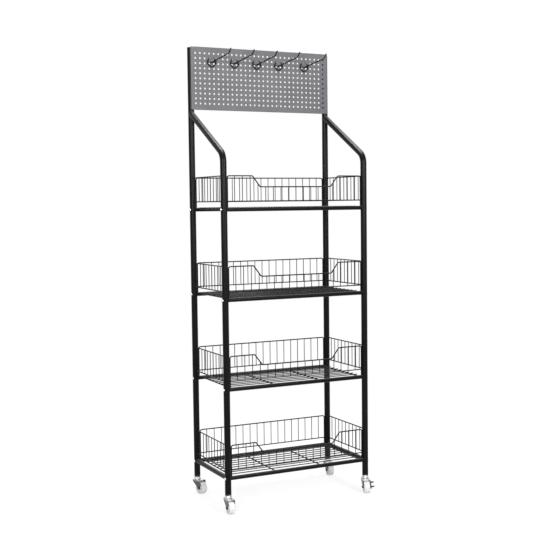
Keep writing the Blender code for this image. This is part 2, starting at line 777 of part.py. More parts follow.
def build_casters(parts, zinc, nylon, dark):
    stem = stem_mesh()
    fork = fork_mesh()
    plain_axle = axle_mesh(0.0)
    braked_axle = axle_mesh(LEVER_THICKNESS + CLEARANCE)
    wheel = wheel_mesh()
    lever = lever_mesh()
    leg_face = WHEEL_WIDTH / 2 + FORK_SIDE_GAP + FORK_SHEET
    across = (0.0, math.pi / 2, 0.0)
    for corner, heading in CASTER_HEADINGS.items():
        row, side = corner.split("_")
        x = SIDES[side] * POST_SPACING_X / 2
        y = ROWS[row] * POST_SPACING_Y / 2
        swivel = bpy.data.objects.new(f"{corner}_swivel", None)
        parts.objects.link(swivel)
        swivel.location = (x, y, 0.0)
        swivel.rotation_euler = (0.0, 0.0, heading)
        hub = (0.0, -TRAIL, WHEEL_DIAMETER / 2)
        braked = corner in BRAKED_CASTERS
        place(f"{corner}_stem", stem, zinc, parts, (x, y, 0.0))
        place(f"{corner}_fork", fork, zinc, parts, parent=swivel)
        place(f"{corner}_axle", braked_axle if braked else plain_axle, dark, parts, hub, across, swivel)
        place(f"{corner}_wheel", wheel, nylon, parts, hub, across, swivel)
        if braked:
            eye = (leg_face, -TRAIL, WHEEL_DIAMETER / 2)
            place(f"{corner}_brake_lever", lever, dark, parts, eye, parent=swivel)


def main():
    clear_scene()
    parts = new_collection("display_rack")
    cutters = new_collection("display_rack_cutters")
    steel = new_material("black powder coat", (0.012, 0.012, 0.013), 0.35, 0.0)
    paint = new_material("grey panel paint", (0.21, 0.21, 0.22), 0.5, 0.0)
    plastic = new_material("black plastic", (0.015, 0.015, 0.015), 0.5, 0.0)
    zinc = new_material("zinc plate", (0.62, 0.62, 0.63), 0.3, 1.0)
    nylon = new_material("white nylon", (0.82, 0.82, 0.80), 0.4, 0.0)
    dark = new_material("dark fittings", (0.03, 0.03, 0.03), 0.4, 0.0)
    build_posts(parts, steel)
    build_post_ends(parts, plastic)
    build_tiers(parts, steel)
    build_pegboard(parts, cutters, paint)
    build_hooks(parts, steel)
    build_casters(parts, zinc, nylon, dark)


main()
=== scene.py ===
"""Looks of a wire display rack: its tube and wire work, its finishes and the studio round it."""

from __future__ import annotations

import json
import logging
import math
from collections.abc import Callable, Iterable, Mapping, Sequence
from dataclasses import dataclass
from enum import Enum

import bmesh
import bpy
from mathutils import Matrix, Vector

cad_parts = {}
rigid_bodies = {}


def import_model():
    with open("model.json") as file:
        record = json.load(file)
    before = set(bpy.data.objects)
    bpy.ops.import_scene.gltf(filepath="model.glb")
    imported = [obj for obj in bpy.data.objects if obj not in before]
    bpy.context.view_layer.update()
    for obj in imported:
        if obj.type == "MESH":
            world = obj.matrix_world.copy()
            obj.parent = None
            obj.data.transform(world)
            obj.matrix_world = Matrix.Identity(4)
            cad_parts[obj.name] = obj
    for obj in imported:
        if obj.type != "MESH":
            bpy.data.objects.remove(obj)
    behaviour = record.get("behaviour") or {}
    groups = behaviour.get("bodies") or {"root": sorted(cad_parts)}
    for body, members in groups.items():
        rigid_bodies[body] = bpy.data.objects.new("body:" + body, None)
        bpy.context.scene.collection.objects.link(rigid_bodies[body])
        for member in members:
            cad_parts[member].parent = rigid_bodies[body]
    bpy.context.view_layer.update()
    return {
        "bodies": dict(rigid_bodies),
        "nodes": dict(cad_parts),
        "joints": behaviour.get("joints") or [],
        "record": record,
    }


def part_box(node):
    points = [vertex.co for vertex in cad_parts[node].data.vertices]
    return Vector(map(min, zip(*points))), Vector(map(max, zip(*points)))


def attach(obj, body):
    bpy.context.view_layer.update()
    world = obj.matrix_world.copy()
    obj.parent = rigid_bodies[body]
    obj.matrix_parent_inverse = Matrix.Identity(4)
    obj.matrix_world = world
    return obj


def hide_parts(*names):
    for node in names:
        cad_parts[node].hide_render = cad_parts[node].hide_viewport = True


LOG = logging.getLogger("display_rack")
FRAME_BODY = "rack_frame"
TIERS = 4
HOOKS = 5
SMALLEST = 1e-6
MIDDLE_TONE = 0.5
SMOOTH_EDGE = 40.0
BEVELLED_EDGE = 35.0
CRISP_EDGE = 30.0
HEXAGON = 6

Colour = tuple[float, float, float]
Place = tuple[float, float, float]
Span = tuple[float, float]
Path = Sequence[Vector]


class Side(Enum):
    """The two sides of the rack, with the sign of x on each."""

    LEFT = -1
    RIGHT = 1


class Row(Enum):
    """The two rows of posts, with the sign of y on each."""

    FRONT = -1
    BACK = 1


class Guard(Enum):
    """The guards that stand along the length of a shelf."""

    FRONT = "front"
    BACK = "back"


class Socket:
    """An output of a shader node, on which Python's arithmetic adds Math nodes."""

    def __init__(self, graph: ShaderGraph, end: bpy.types.NodeSocket | None) -> None:
        """Wrap a node's output.

        Args:
            graph: The graph that the node belongs to.
            end: The output socket, or None for a node without one.
        """
        self.graph = graph
        self.end = end

    def _math(self, operation: str, first: Socket | float, second: Socket | float) -> Socket:
        """Add one Math node.

        Args:
            operation: The Math node's operation.
            first: Its first value.
            second: Its second value.

        Returns:
            The node's output.
        """
        return self.graph.node("ShaderNodeMath", {"operation": operation}, {0: first, 1: second})

    def __add__(self, other: Socket | float) -> Socket:
        """Return the sum."""
        return self._math("ADD", self, other)

    def __radd__(self, other: Socket | float) -> Socket:
        """Return the sum."""
        return self._math("ADD", other, self)

    def __sub__(self, other: Socket | float) -> Socket:
        """Return the difference."""
        return self._math("SUBTRACT", self, other)

    def __rsub__(self, other: Socket | float) -> Socket:
        """Return the difference from another value."""
        return self._math("SUBTRACT", other, self)

    def __mul__(self, other: Socket | float) -> Socket:
        """Return the product."""
        return self._math("MULTIPLY", self, other)

    def __rmul__(self, other: Socket | float) -> Socket:
        """Return the product."""
        return self._math("MULTIPLY", other, self)

    def over(self, other: Socket | float) -> Socket:
        """Return the larger of this and another value."""
        return self._math("MAXIMUM", self, other)


Tint = Colour | Socket


class ShaderGraph:
    """The nodes of one material or of the world."""

    def __init__(self, tree: bpy.types.NodeTree) -> None:
        """Start on an emptied node tree."""
        self.tree = tree
        tree.nodes.clear()

    def node(
        self,
        kind: str,
        settings: Mapping[str, object] | None = None,
        inputs: Mapping[str | int, object] | None = None,
        output: str | int = 0,
    ) -> Socket:
        """Add a node.

        Args:
            kind: The node's type.
            settings: Its properties, set first. A ramp takes its stops as (place, colour) pairs.
            inputs: Values or sockets for its inputs, by name or number.
            output: The output that is wanted.

        Returns:
            That output.
        """
        made = self.tree.nodes.new(kind)
        for name, value in (settings or {}).items():
            if name == "stops":
                self._set_stops(made.color_ramp, value)
            else:
                setattr(made, name, value)
        for key, value in (inputs or {}).items():
            if isinstance(value, Socket):
                self.tree.links.new(value.end, made.inputs[key])
            else:
                made.inputs[key].default_value = value
        return Socket(self, made.outputs[output] if made.outputs else None)

    @staticmethod
    def _set_stops(ramp: bpy.types.ColorRamp, stops: Sequence[tuple[float, Colour]]) -> None:
        """Set a ramp's stops, of which there are two or more."""
        while len(ramp.elements) < len(stops):
            ramp.elements.new(1.0)
        for element, (place, colour) in zip(ramp.elements, stops):
            element.position = place
            element.color = (*colour, 1.0)

    def place(self) -> Socket:
        """Return the object's own coordinates, in metres."""
        return self.node("ShaderNodeTexCoord", output="Object")

    def stretched(self, place: Socket, factors: Place) -> Socket:
        """Return coordinates scaled by a factor along each axis."""
        return self.node("ShaderNodeMapping", None, {"Vector": place, "Scale": factors})

    def noise(self, place: Socket, size: float, detail: float = 2.0) -> Socket:
        """Return smooth noise.

        Args:
            place: The coordinates.
            size: The size of its features in metres.
            detail: The number of finer octaves.

        Returns:
            A value from 0 to 1.
        """
        inputs = {"Vector": place, "Scale": 1.0 / size, "Detail": detail}
        return self.node("ShaderNodeTexNoise", None, inputs)

    def cells(self, place: Socket, size: float) -> Socket:
        """Return a grey value that is constant over each irregular cell of a given size."""
        inputs = {"Vector": place, "Scale": 1.0 / size}
        colour = self.node("ShaderNodeTexVoronoi", None, inputs, "Color")
        return self.node("ShaderNodeSeparateColor", None, {"Color": colour}, "Red")

    def ramp(self, value: Socket, span: Span) -> Socket:
        """Return a value stretched so that the span's start becomes 0 and its end 1."""
        inputs = {"Value": value, "From Min": span[0], "From Max": span[1]}
        return self.node("ShaderNodeMapRange", {"clamp": True}, inputs)

    def blend(self, share: Socket | float, first: Tint, second: Tint) -> Socket:
        """Return a colour between two, at a share from 0 to 1."""
        ends = [tint if isinstance(tint, Socket) else (*tint, 1.0) for tint in (first, second)]
        return self.node("ShaderNodeMix", {"data_type": "RGBA"}, {0: share, 6: ends[0], 7: ends[1]}, 2)

    def bump(self, height: Socket, depth: float) -> Socket:
        """Return a normal disturbed by a height from 0 to 1, of a depth in metres."""
        inputs = {"Height": height, "Distance": depth, "Strength": 1.0}
        return self.node("ShaderNodeBump", None, inputs)

    def surface(self, inputs: Mapping[str, object]) -> None:
        """End the graph with a Principled shader that has the given inputs."""
        shader = self.node("ShaderNodeBsdfPrincipled", None, inputs)
        self.node("ShaderNodeOutputMaterial", None, {"Surface": shader})


@dataclass(frozen=True)
class Finish:
    """A surface finish, with the record's slot that it belongs to."""

    name: str
    slot: str

    def shade(self, graph: ShaderGraph) -> None:
        """Add the finish's nodes to a graph."""
        raise NotImplementedError

    def material(self) -> bpy.types.Material:
        """Return the finish's material, which is made on first use."""
        found = bpy.data.materials.get(self.name)
        if found is None:
            found = bpy.data.materials.new(self.name)
            found.use_nodes = True
            self.shade(ShaderGraph(found.node_tree))
        return found


@dataclass(frozen=True)
class PowderCoat(Finish):
    """Baked powder on steel: dark, even, with orange peel and faint rub marks."""

    name: str = "powder_coat_black"
    slot: str = "black_coat"
    colour: Colour = (0.0014, 0.0014, 0.0017)
    rubbed: Colour = (0.0040, 0.0040, 0.0047)
    roughness: float = 0.31
    roughness_spread: float = 0.08
    specular: float = 0.10
    peel_size: float = 0.0024
    peel_depth: float = 0.000003
    cloud_size: float = 0.11
    # painted top sheen: a paler tone on upward faces that stands in for the highlight of the lamps above,
    # with the settings for it below
    dust: Colour = (0.070, 0.070, 0.075)
    cloud_share: float = 0.25
    dust_slopes: Span = (0.60, 1.00)
    dust_least: float = 0.6
    dust_spread: float = 0.6
    rub_size: float = 0.012
    rub_stretch: Place = (1.0, 1.0, 0.12)
    rub_span: Span = (0.58, 0.80)
    rub_share: float = 0.6
    rub_roughness: float = 0.06

    def shade(self, graph: ShaderGraph) -> None:
        """Add orange peel, cloudy gloss, rub marks and a painted highlight: a paler tone on what faces up.
        """
        place = graph.place()
        cloud = graph.noise(place, self.cloud_size, detail=3.0)
        peel = graph.noise(place, self.peel_size, detail=1.0)
        rub = graph.noise(graph.stretched(place, self.rub_stretch), self.rub_size, detail=4.0)
        rubbed = graph.ramp(rub, self.rub_span)
        gloss = self.roughness + (cloud - MIDDLE_TONE) * self.roughness_spread + rubbed * self.rub_roughness
        tone = rubbed * self.rub_share + cloud * self.cloud_share
        coat = graph.blend(tone, self.colour, self.rubbed)
        # painted highlight: faces that point up are blended towards a paler tone, more where the cloud is;
        # thickness is the strength of this painted sheen
        facing = graph.node("ShaderNodeNewGeometry", output="Normal")
        upward = graph.node("ShaderNodeSeparateXYZ", None, {"Vector": facing}, "Z")
        thickness = self.dust_least + cloud * self.dust_spread
        painted_sheen = graph.ramp(upward, self.dust_slopes) * thickness
        graph.surface(
            {
                "Base Color": graph.blend(painted_sheen, coat, self.dust),
                "Roughness": gloss,
                "Specular IOR Level": self.specular,
                "Normal": graph.bump(peel, self.peel_depth),
            }
        )


@dataclass(frozen=True)
class PanelPaint(Finish):
    """Grey satin paint on sheet steel."""

    name: str = "panel_paint_grey"
    slot: str = "grey_paint"
    colour: Colour = (0.090, 0.088, 0.095)
    shaded: Colour = (0.068, 0.066, 0.072)
    roughness: float = 0.52
    specular: float = 0.30
    peel_size: float = 0.0020
    peel_depth: float = 0.00001
    cloud_size: float = 0.16
    cloud_span: Span = (0.35, 0.70)
    cloud_share: float = 0.7
    cloud_roughness: float = 0.12
    fleck_size: float = 0.0010
    fleck_span: Span = (0.55, 0.75)
    fleck_share: float = 0.25

    def shade(self, graph: ShaderGraph) -> None:
        """Add a soft cloud of tone, orange peel and a slightly uneven gloss."""
        place = graph.place()
        cloud = graph.noise(place, self.cloud_size)
        peel = graph.noise(place, self.peel_size, detail=1.0)
        fleck = graph.noise(place, self.fleck_size, detail=0.0)
        clouded = graph.ramp(cloud, self.cloud_span) * self.cloud_share
        tone = clouded + graph.ramp(fleck, self.fleck_span) * self.fleck_share
        graph.surface(
            {
                "Base Color": graph.blend(tone, self.colour, self.shaded),
                "Roughness": self.roughness + (cloud - MIDDLE_TONE) * self.cloud_roughness,
                "Specular IOR Level": self.specular,
                "Normal": graph.bump(peel, self.peel_depth),
            }
        )


@dataclass(frozen=True)
class ZincPlate(Finish):
    """Bright zinc on pressed and turned steel, with a faint spangle and draw marks."""

    name: str = "zinc_plate_bright"
    slot: str = "zinc_plate"
    colour: Colour = (0.74, 0.74, 0.755)
    dull: Colour = (0.50, 0.50, 0.52)
    roughness: float = 0.27
    dull_roughness: float = 0.22
    spangle_size: float = 0.0022
    spangle_share: float = 0.25
    cloud_size: float = 0.008
    cloud_span: Span = (0.45, 0.75)
    cloud_share: float = 0.55
    draw_size: float = 0.0007
    draw_stretch: Place = (1.0, 1.0, 0.08)
    draw_depth: float = 0.00002

    def tint(self, graph: ShaderGraph, place: Socket, tone: Socket) -> Socket:
        """Return the plate's colour.

        Args:
            graph: The finish's nodes.
            place: The object's own coordinates.
            tone: How dull the plate is, from 0 to 1.

        Returns:
            The colour.
        """
        return graph.blend(tone, self.colour, self.dull)

    def shade(self, graph: ShaderGraph) -> None:
        """Add the spangle, cloudy dullness and fine draw marks."""
        place = graph.place()
        spangle = graph.cells(place, self.spangle_size)
        cloud = graph.noise(place, self.cloud_size, detail=3.0)
        draw = graph.noise(graph.stretched(place, self.draw_stretch), self.draw_size)
        tone = spangle * self.spangle_share + graph.ramp(cloud, self.cloud_span) * self.cloud_share
        graph.surface(
            {
                "Base Color": self.tint(graph, place, tone),
                "Metallic": 1.0,
                "Roughness": self.roughness + tone * self.dull_roughness,
                "Normal": graph.bump(draw, self.draw_depth),
            }
        )


@dataclass(frozen=True)
class PressedZinc(ZincPlate):
    """Zinc on the pressed forks: bright on top and darker down the legs, below the web."""

    name: str = "zinc_plate_pressed"
    leg: Colour = (0.100, 0.100, 0.106)
    fade_heights: Span = (0.0500, 0.0585)
    fade_ragged: float = 0.004

    def tint(self, graph: ShaderGraph, place: Socket, tone: Socket) -> Socket:
        """Return the plate's colour, darkened down the legs."""
        height = graph.node("ShaderNodeSeparateXYZ", None, {"Vector": place}, "Z")
        share = graph.ramp(height + (tone - MIDDLE_TONE) * self.fade_ragged, self.fade_heights)
        return graph.blend(share, self.leg, super().tint(graph, place, tone))


@dataclass(frozen=True)
class Nylon(Finish):
    """Off-white moulded nylon, a little translucent and mottled."""

    name: str = "nylon_white"
    slot: str = "white_nylon"
    colour: Colour = (0.52, 0.52, 0.516)
    mottled: Colour = (0.42, 0.42, 0.415)
    roughness: float = 0.42
    mottle_size: float = 0.009
    mottle_span: Span = (0.40, 0.75)
    mottle_share: float = 0.7
    mottle_roughness: float = 0.2
    translucency: float = 0.12
    scatter: Colour = (0.004, 0.004, 0.004)
    grain_size: float = 0.0009
    grain_depth: float = 0.00003

    def shade(self, graph: ShaderGraph) -> None:
        """Add mottling and the grain of the mould."""
        place = graph.place()
        mottle = graph.noise(place, self.mottle_size, detail=3.0)
        grain = graph.noise(place, self.grain_size)
        tone = graph.ramp(mottle, self.mottle_span) * self.mottle_share
        graph.surface(
            {
                "Base Color": graph.blend(tone, self.colour, self.mottled),
                "Roughness": self.roughness + (mottle - MIDDLE_TONE) * self.mottle_roughness,
                "Subsurface Weight": self.translucency,
                "Subsurface Radius": self.scatter,
                "Subsurface Scale": 1.0,
                "Normal": graph.bump(grain, self.grain_depth),
            }
        )


@dataclass(frozen=True)
class MouldedPlastic(Finish):
    """Matt black moulded plastic with a fine grain."""

    name: str = "moulded_plastic_black"
    slot: str = "black_plastic"
    colour: Colour = (0.012, 0.012, 0.012)
    worn: Colour = (0.030, 0.030, 0.030)
    roughness: float = 0.55
    specular: float = 0.35
    bloom_size: float = 0.010
    bloom_span: Span = (0.45, 0.80)
    bloom_roughness: float = 0.2
    grain_size: float = 0.0007
    grain_depth: float = 0.00006

    def shade(self, graph: ShaderGraph) -> None:
        """Add the mould's grain and a faint bloom."""
        place = graph.place()
        bloom = graph.noise(place, self.bloom_size, detail=3.0)
        grain = graph.cells(place, self.grain_size)
        graph.surface(
            {
                "Base Color": graph.blend(graph.ramp(bloom, self.bloom_span), self.colour, self.worn),
                "Roughness": self.roughness + (bloom - MIDDLE_TONE) * self.bloom_roughness,
                "Specular IOR Level": self.specular,
                "Normal": graph.bump(grain, self.grain_depth),
            }
        )


@dataclass(frozen=True)
class DarkSteel(Finish):
    """Blackened steel of axles and brake levers, rubbed a little on its edges."""

    name: str = "blackened_steel"
    slot: str = "dark_fittings"
    colour: Colour = (0.030, 0.030, 0.032)
    rubbed: Colour = (0.10, 0.10, 0.105)
    metallic: float = 0.55
    roughness: float = 0.42
    rub_size: float = 0.004
    rub_span: Span = (0.55, 0.75)
    rub_share: float = 0.7
    rub_polish: float = 0.12
    grain_size: float = 0.0006
    grain_roughness: float = 0.1
    grain_depth: float = 0.00003

    def shade(self, graph: ShaderGraph) -> None:
        """Add rubbed patches that are paler and smoother."""
        place = graph.place()
        rub = graph.noise(place, self.rub_size, detail=4.0)
        grain = graph.noise(place, self.grain_size, detail=1.0)
        rubbed = graph.ramp(rub, self.rub_span)
        matt = (grain - MIDDLE_TONE) * self.grain_roughness
        graph.surface(
            {
                "Base Color": graph.blend(rubbed * self.rub_share, self.colour, self.rubbed),
                "Metallic": self.metallic,
                "Roughness": self.roughness - rubbed * self.rub_polish + matt,
                "Normal": graph.bump(grain, self.grain_depth),
            }
        )


POWDER_COAT = PowderCoat()
PANEL_PAINT = PanelPaint()
ZINC_PLATE = ZincPlate()
PRESSED_ZINC = PressedZinc()
NYLON = Nylon()
BLACK_PLASTIC = MouldedPlastic()
DARK_STEEL = DarkSteel()


@dataclass(frozen=True)
class Upright:
    """A vertical round tube that other tubes are seated on."""

    x: float
    y: float
    radius: float

    def meet(self, point: Vector, direction: Vector) -> Vector:
        """Slide a point along a direction to where it enters the tube's surface.

        Args:
            point: The point to slide.
            direction: The direction, which leads into the tube.

        Returns:
            The point on the surface, or nearest to it where the line passes the tube by.
        """
        across = Vector((point.x - self.x, point.y - self.y))
        along = Vector((direction.x, direction.y))
        square = along.length_squared
        half = across.dot(along)
        root = max(half * half - square * (across.length_squared - self.radius**2), 0.0)
        return point + direction * ((-half - math.sqrt(root)) / square)


def filleted(corners: Path, radii: Sequence[float], steps: int) -> list[Vector]:
    """Round the inner corners of a path.

    Args:
        corners: The path's corners.
        radii: One radius for each inner corner.
        steps: The number of chords in each arc.

    Returns:
        The path with an arc in place of each inner corner.
    """
    path = [Vector(corners[0])]
    for before, corner, after, radius in zip(corners, corners[1:], corners[2:], radii):
        inward = (before - corner).normalized()
        outward = (after - corner).normalized()
        turn = math.pi - inward.angle(outward)
        reach = radius * math.tan(turn / 2)
        centre = corner + (inward + outward).normalized() * radius / math.cos(turn / 2)
        start = corner + inward * reach - centre
        axis = start.cross(corner + outward * reach - centre)
        for step in range(steps + 1):
            path.append(centre + Matrix.Rotation(turn * step / steps, 3, axis) @ start)
    path.append(Vector(corners[-1]))
    return path


def mirrored(points: Path) -> list[Vector]:
    """Return the points in reverse order on the other side of x = 0."""
    return [Vector((-point.x, point.y, point.z)) for point in reversed(points)]


@dataclass(frozen=True)
class Turn:
    """One point of a turned profile, which may be flattened into a polygon."""

    radius: float
    height: float
    flats: int = 0

    def reach(self, angle: float) -> float:
        """Return the distance from the axis at an angle, in radians."""
        if not self.flats:
            return self.radius
        half = math.pi / self.flats
        return self.radius * math.cos(half) / math.cos(angle % (2 * half) - half)


def turns(profile: Iterable[tuple[float, float]], radii: Sequence[float], steps: int) -> list[Turn]:
    """Return a turned profile with its inner corners rounded.

    Args:
        profile: (radius, height) pairs.
        radii: One fillet radius for each inner corner.
        steps: The number of chords in each fillet.

    Returns:
        The rounded profile.
    """
    corners = [Vector((radius, 0.0, height)) for radius, height in profile]
    return [Turn(point.x, point.z) for point in filleted(corners, radii, steps)]


class Form:
    """A mesh under construction, in metres and in the frame's own coordinates."""

    def __init__(self) -> None:
        """Start with nothing."""
        self.mesh = bmesh.new()

    def _ring(self, points: Iterable[Vector]) -> list[bmesh.types.BMVert]:
        """Add a row of points."""
        return [self.mesh.verts.new(point) for point in points]

    def _join(self, first: list, second: list, closed: bool = True) -> None:
        """Fill the band between two rows of as many points."""
        count = len(first)
        for index in range(count if closed else count - 1):
            after = (index + 1) % count
            self.mesh.faces.new((first[index], first[after], second[after], second[index]))

    @staticmethod
    def _frames(path: Path) -> list[tuple[Vector, Vector, Vector, Vector]]:
        """Return (point, tangent, across, up) along a path, without twist."""
        last = len(path) - 1
        frames = []
        across = (path[1] - path[0]).orthogonal().normalized()
        for index, point in enumerate(path):
            tangent = (path[min(index + 1, last)] - path[max(index - 1, 0)]).normalized()
            across = (across - tangent * across.dot(tangent)).normalized()
            frames.append((point, tangent, across, tangent.cross(across)))
        return frames

    @staticmethod
    def _circle(frame: tuple[Vector, Vector, Vector, Vector], radius: float, sides: int) -> list[Vector]:
        """Return the points of a circle in a frame's cross plane."""
        point, _, across, up = frame
        angles = [2 * math.pi * side / sides for side in range(sides)]
        return [point + radius * (math.cos(angle) * across + math.sin(angle) * up) for angle in angles]

    def bar(self, path: Path, radius: float, sides: int, rounding: float = 0.0, steps: int = 3) -> None:
        """Add a solid round bar along a path.

        Args:
            path: Its centre line.
            radius: Its radius.
            sides: The number of sides of its section.
            rounding: The radius that its two ends are rounded to.
            steps: The number of chords in that rounding.
        """
        frames = self._frames(path)
        rings = [self._circle(frame, radius, sides) for frame in frames]
        if rounding > 0.0:
            rings = [
                *self._rounded_end(frames[0], -1.0, radius, sides, rounding, steps),
                *rings[1:-1],
                *reversed(self._rounded_end(frames[-1], 1.0, radius, sides, rounding, steps)),
            ]
        self.loft(rings)

    def loft(self, rings: Sequence[Path]) -> None:
        """Add a closed solid through rings of as many points each."""
        rows = [self._ring(ring) for ring in rings]
        for first, second in zip(rows, rows[1:]):
            self._join(first, second)
        self.mesh.faces.new(rows[0])
        self.mesh.faces.new(rows[-1])

    def _rounded_end(
        self,
        frame: tuple[Vector, Vector, Vector, Vector],
        outward: float,
        radius: float,
        sides: int,
        rounding: float,
        steps: int,
    ) -> list[list[Vector]]:
        """Return the rings of a bar's rounded end, from its tip inwards."""
        point, tangent, across, up = frame
        rings = []
        for step in range(steps + 1):
            angle = math.pi / 2 * step / steps
            spot = point - tangent * (outward * rounding * (1.0 - math.cos(angle)))
            size = radius - rounding * (1.0 - math.sin(angle))
            rings.append(self._circle((spot, tangent, across, up), size, sides))
        return rings

    def pipe(
        self,
        path: Path,
        radius: float,
        wall: float,
        sides: int,
        seats: tuple[Upright | None, Upright | None] = (None, None),
    ) -> list[list[Vector]]:
        """Add a hollow tube along a path, coped to the uprights that it is seated on.

        Args:
            path: Its centre line.
            radius: Its outer radius.
            wall: Its wall thickness.
            sides: The number of sides of its section.
            seats: The uprights at its start and end, or None for a plain end.

        Returns:
            The outlines of its two outer ends.
        """
        frames = self._frames(path)
        skins = []
        for size in (radius, radius - wall):
            rings = [self._circle(frame, size, sides) for frame in frames]
            for end, seat, sign in ((0, seats[0], -1.0), (-1, seats[1], 1.0)):
                if seat is not None:
                    direction = frames[end][1] * sign
                    rings[end] = [seat.meet(point, direction) for point in rings[end]]
            rows = [self._ring(ring) for ring in rings]
            for first, second in zip(rows, rows[1:]):
                self._join(first, second)
            skins.append((rings, rows))
        (outer_rings, outer), (_, inner) = skins
        self._join(outer[0], inner[0])
        self._join(outer[-1], inner[-1])
        return [outer_rings[0], outer_rings[-1]]

    def bead(self, loop: Path, axis: Vector, radius: float, sides: int) -> None:
        """Add a weld bead round a closed loop.

        Args:
            loop: The points of the seam.
            axis: The direction that the loop goes round.
            radius: The bead's radius.
            sides: The number of sides of its section.
        """
        count = len(loop)
        rows = []
        for index, point in enumerate(loop):
            tangent = (loop[(index + 1) % count] - loop[index - 1]).normalized()
            across = tangent.cross(axis).normalized()
            frame = (point, tangent, across, tangent.cross(across))
            rows.append(self._ring(self._circle(frame, radius, sides)))
        for index, row in enumerate(rows):
            self._join(row, rows[(index + 1) % count])

    def lathe(self, profile: Sequence[Turn], steps: int, pose: Matrix, closed: bool = False) -> None:
        """Add a turned solid.

        Args:
            profile: The points of its profile. A point on the axis ends it in a pole.
            steps: The number of steps round the axis.
            pose: The place of its axis, which is Z before it is placed.
            closed: Whether the last point joins the first, as on a ring.
        """
        angles = [2 * math.pi * step / steps for step in range(steps)]
        rows = []
        for turn in profile:
            if turn.radius < SMALLEST:
                rows.append(self._ring([pose @ Vector((0.0, 0.0, turn.height))]))
                continue
            points = []
            for angle in angles:
                reach = turn.reach(angle)
                points.append(pose @ Vector((reach * math.cos(angle), reach * math.sin(angle), turn.height)))
            rows.append(self._ring(points))
        pairs = list(zip(rows, rows[1:]))
        if closed:
            pairs.append((rows[-1], rows[0]))
        for first, second in pairs:
            if len(first) == len(second):
                self._join(first, second)
                continue
            pole, ring = (first, second) if len(first) == 1 else (second, first)
            for index in range(len(ring)):
                self.mesh.faces.new((ring[index], ring[(index + 1) % len(ring)], pole[0]))

    def slab(self, outline: Path, depth: Vector) -> None:
        """Add a flat outline extruded by a vector."""
        self.loft([outline, [point + depth for point in outline]])

    def band(self, inner: Path, outer: Path) -> None:
        """Add the flat band between two closed rows of as many points."""
        self._join(self._ring(inner), self._ring(outer))

    def sheet(self, rows: Sequence[Path]) -> None:
        """Add an open sheet through rows of as many points each."""
        made = [self._ring(row) for row in rows]
        for first, second in zip(made, made[1:]):
            self._join(first, second, closed=False)

    def moved(self, pose: Matrix) -> Form:
        """Move everything made so far, and return the form."""
        self.mesh.transform(pose)
        return self

    def piece(
        self,
        name: str,
        finish: Finish,
        body: str,
        replaced: Sequence[str] = (),
        sharp: float = SMOOTH_EDGE,
        modify: Callable[[bpy.types.Object], None] | None = None,
    ) -> bpy.types.Object:
        """Turn the form into a piece of the rack.

        Args:
            name: The piece's name.
            finish: Its finish.
            body: The body that it moves with.
            replaced: The plain solids that it stands for.
            sharp: The angle in degrees above which an edge stays sharp.
            modify: A function that adds modifiers to the piece.

        Returns:
            The new object.
        """
        bmesh.ops.recalc_face_normals(self.mesh, faces=self.mesh.faces)
        data = bpy.data.meshes.new(name)
        self.mesh.to_mesh(data)
        self.mesh.free()
        data.shade_smooth()
        data.set_sharp_from_angle(angle=math.radians(sharp))
        data.materials.append(finish.material())
        made = bpy.data.objects.new(name, data)
        bpy.context.scene.collection.objects.link(made)
        if modify is not None:
            modify(made)
        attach(made, body)
        if replaced:
            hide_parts(*replaced)
        LOG.info("%s: %d faces on %s", name, len(data.polygons), body)
        return made


def softened(width: float, segments: int = 2) -> Callable[[bpy.types.Object], None]:
    """Return a function that rounds the sharp edges of a piece.

    Args:
        width: The width of the rounding.
        segments: The number of steps in it.

    Returns:
        A function for Form.piece.
    """

    def modify(piece: bpy.types.Object) -> None:
        """Add the bevel."""
        bevel = piece.modifiers.new("softened edges", "BEVEL")
        bevel.width = width
        bevel.segments = segments
        bevel.limit_method = "ANGLE"
        bevel.angle_limit = math.radians(BEVELLED_EDGE)
        bevel.harden_normals = True

    return modify


def thickened(thickness: float, width: float) -> Callable[[bpy.types.Object], None]:
    """Return a function that gives a sheet its thickness and rounds its edges.

    Args:
        thickness: The sheet's thickness, half on each side.
        width: The width of the rounding.

    Returns:
        A function for Form.piece.
    """

    def modify(piece: bpy.types.Object) -> None:
        """Add the thickness and then the bevel."""
        shell = piece.modifiers.new("sheet metal", "SOLIDIFY")
        shell.thickness = thickness
        shell.offset = 0.0
        shell.use_even_offset = True
        softened(width)(piece)

    return modify


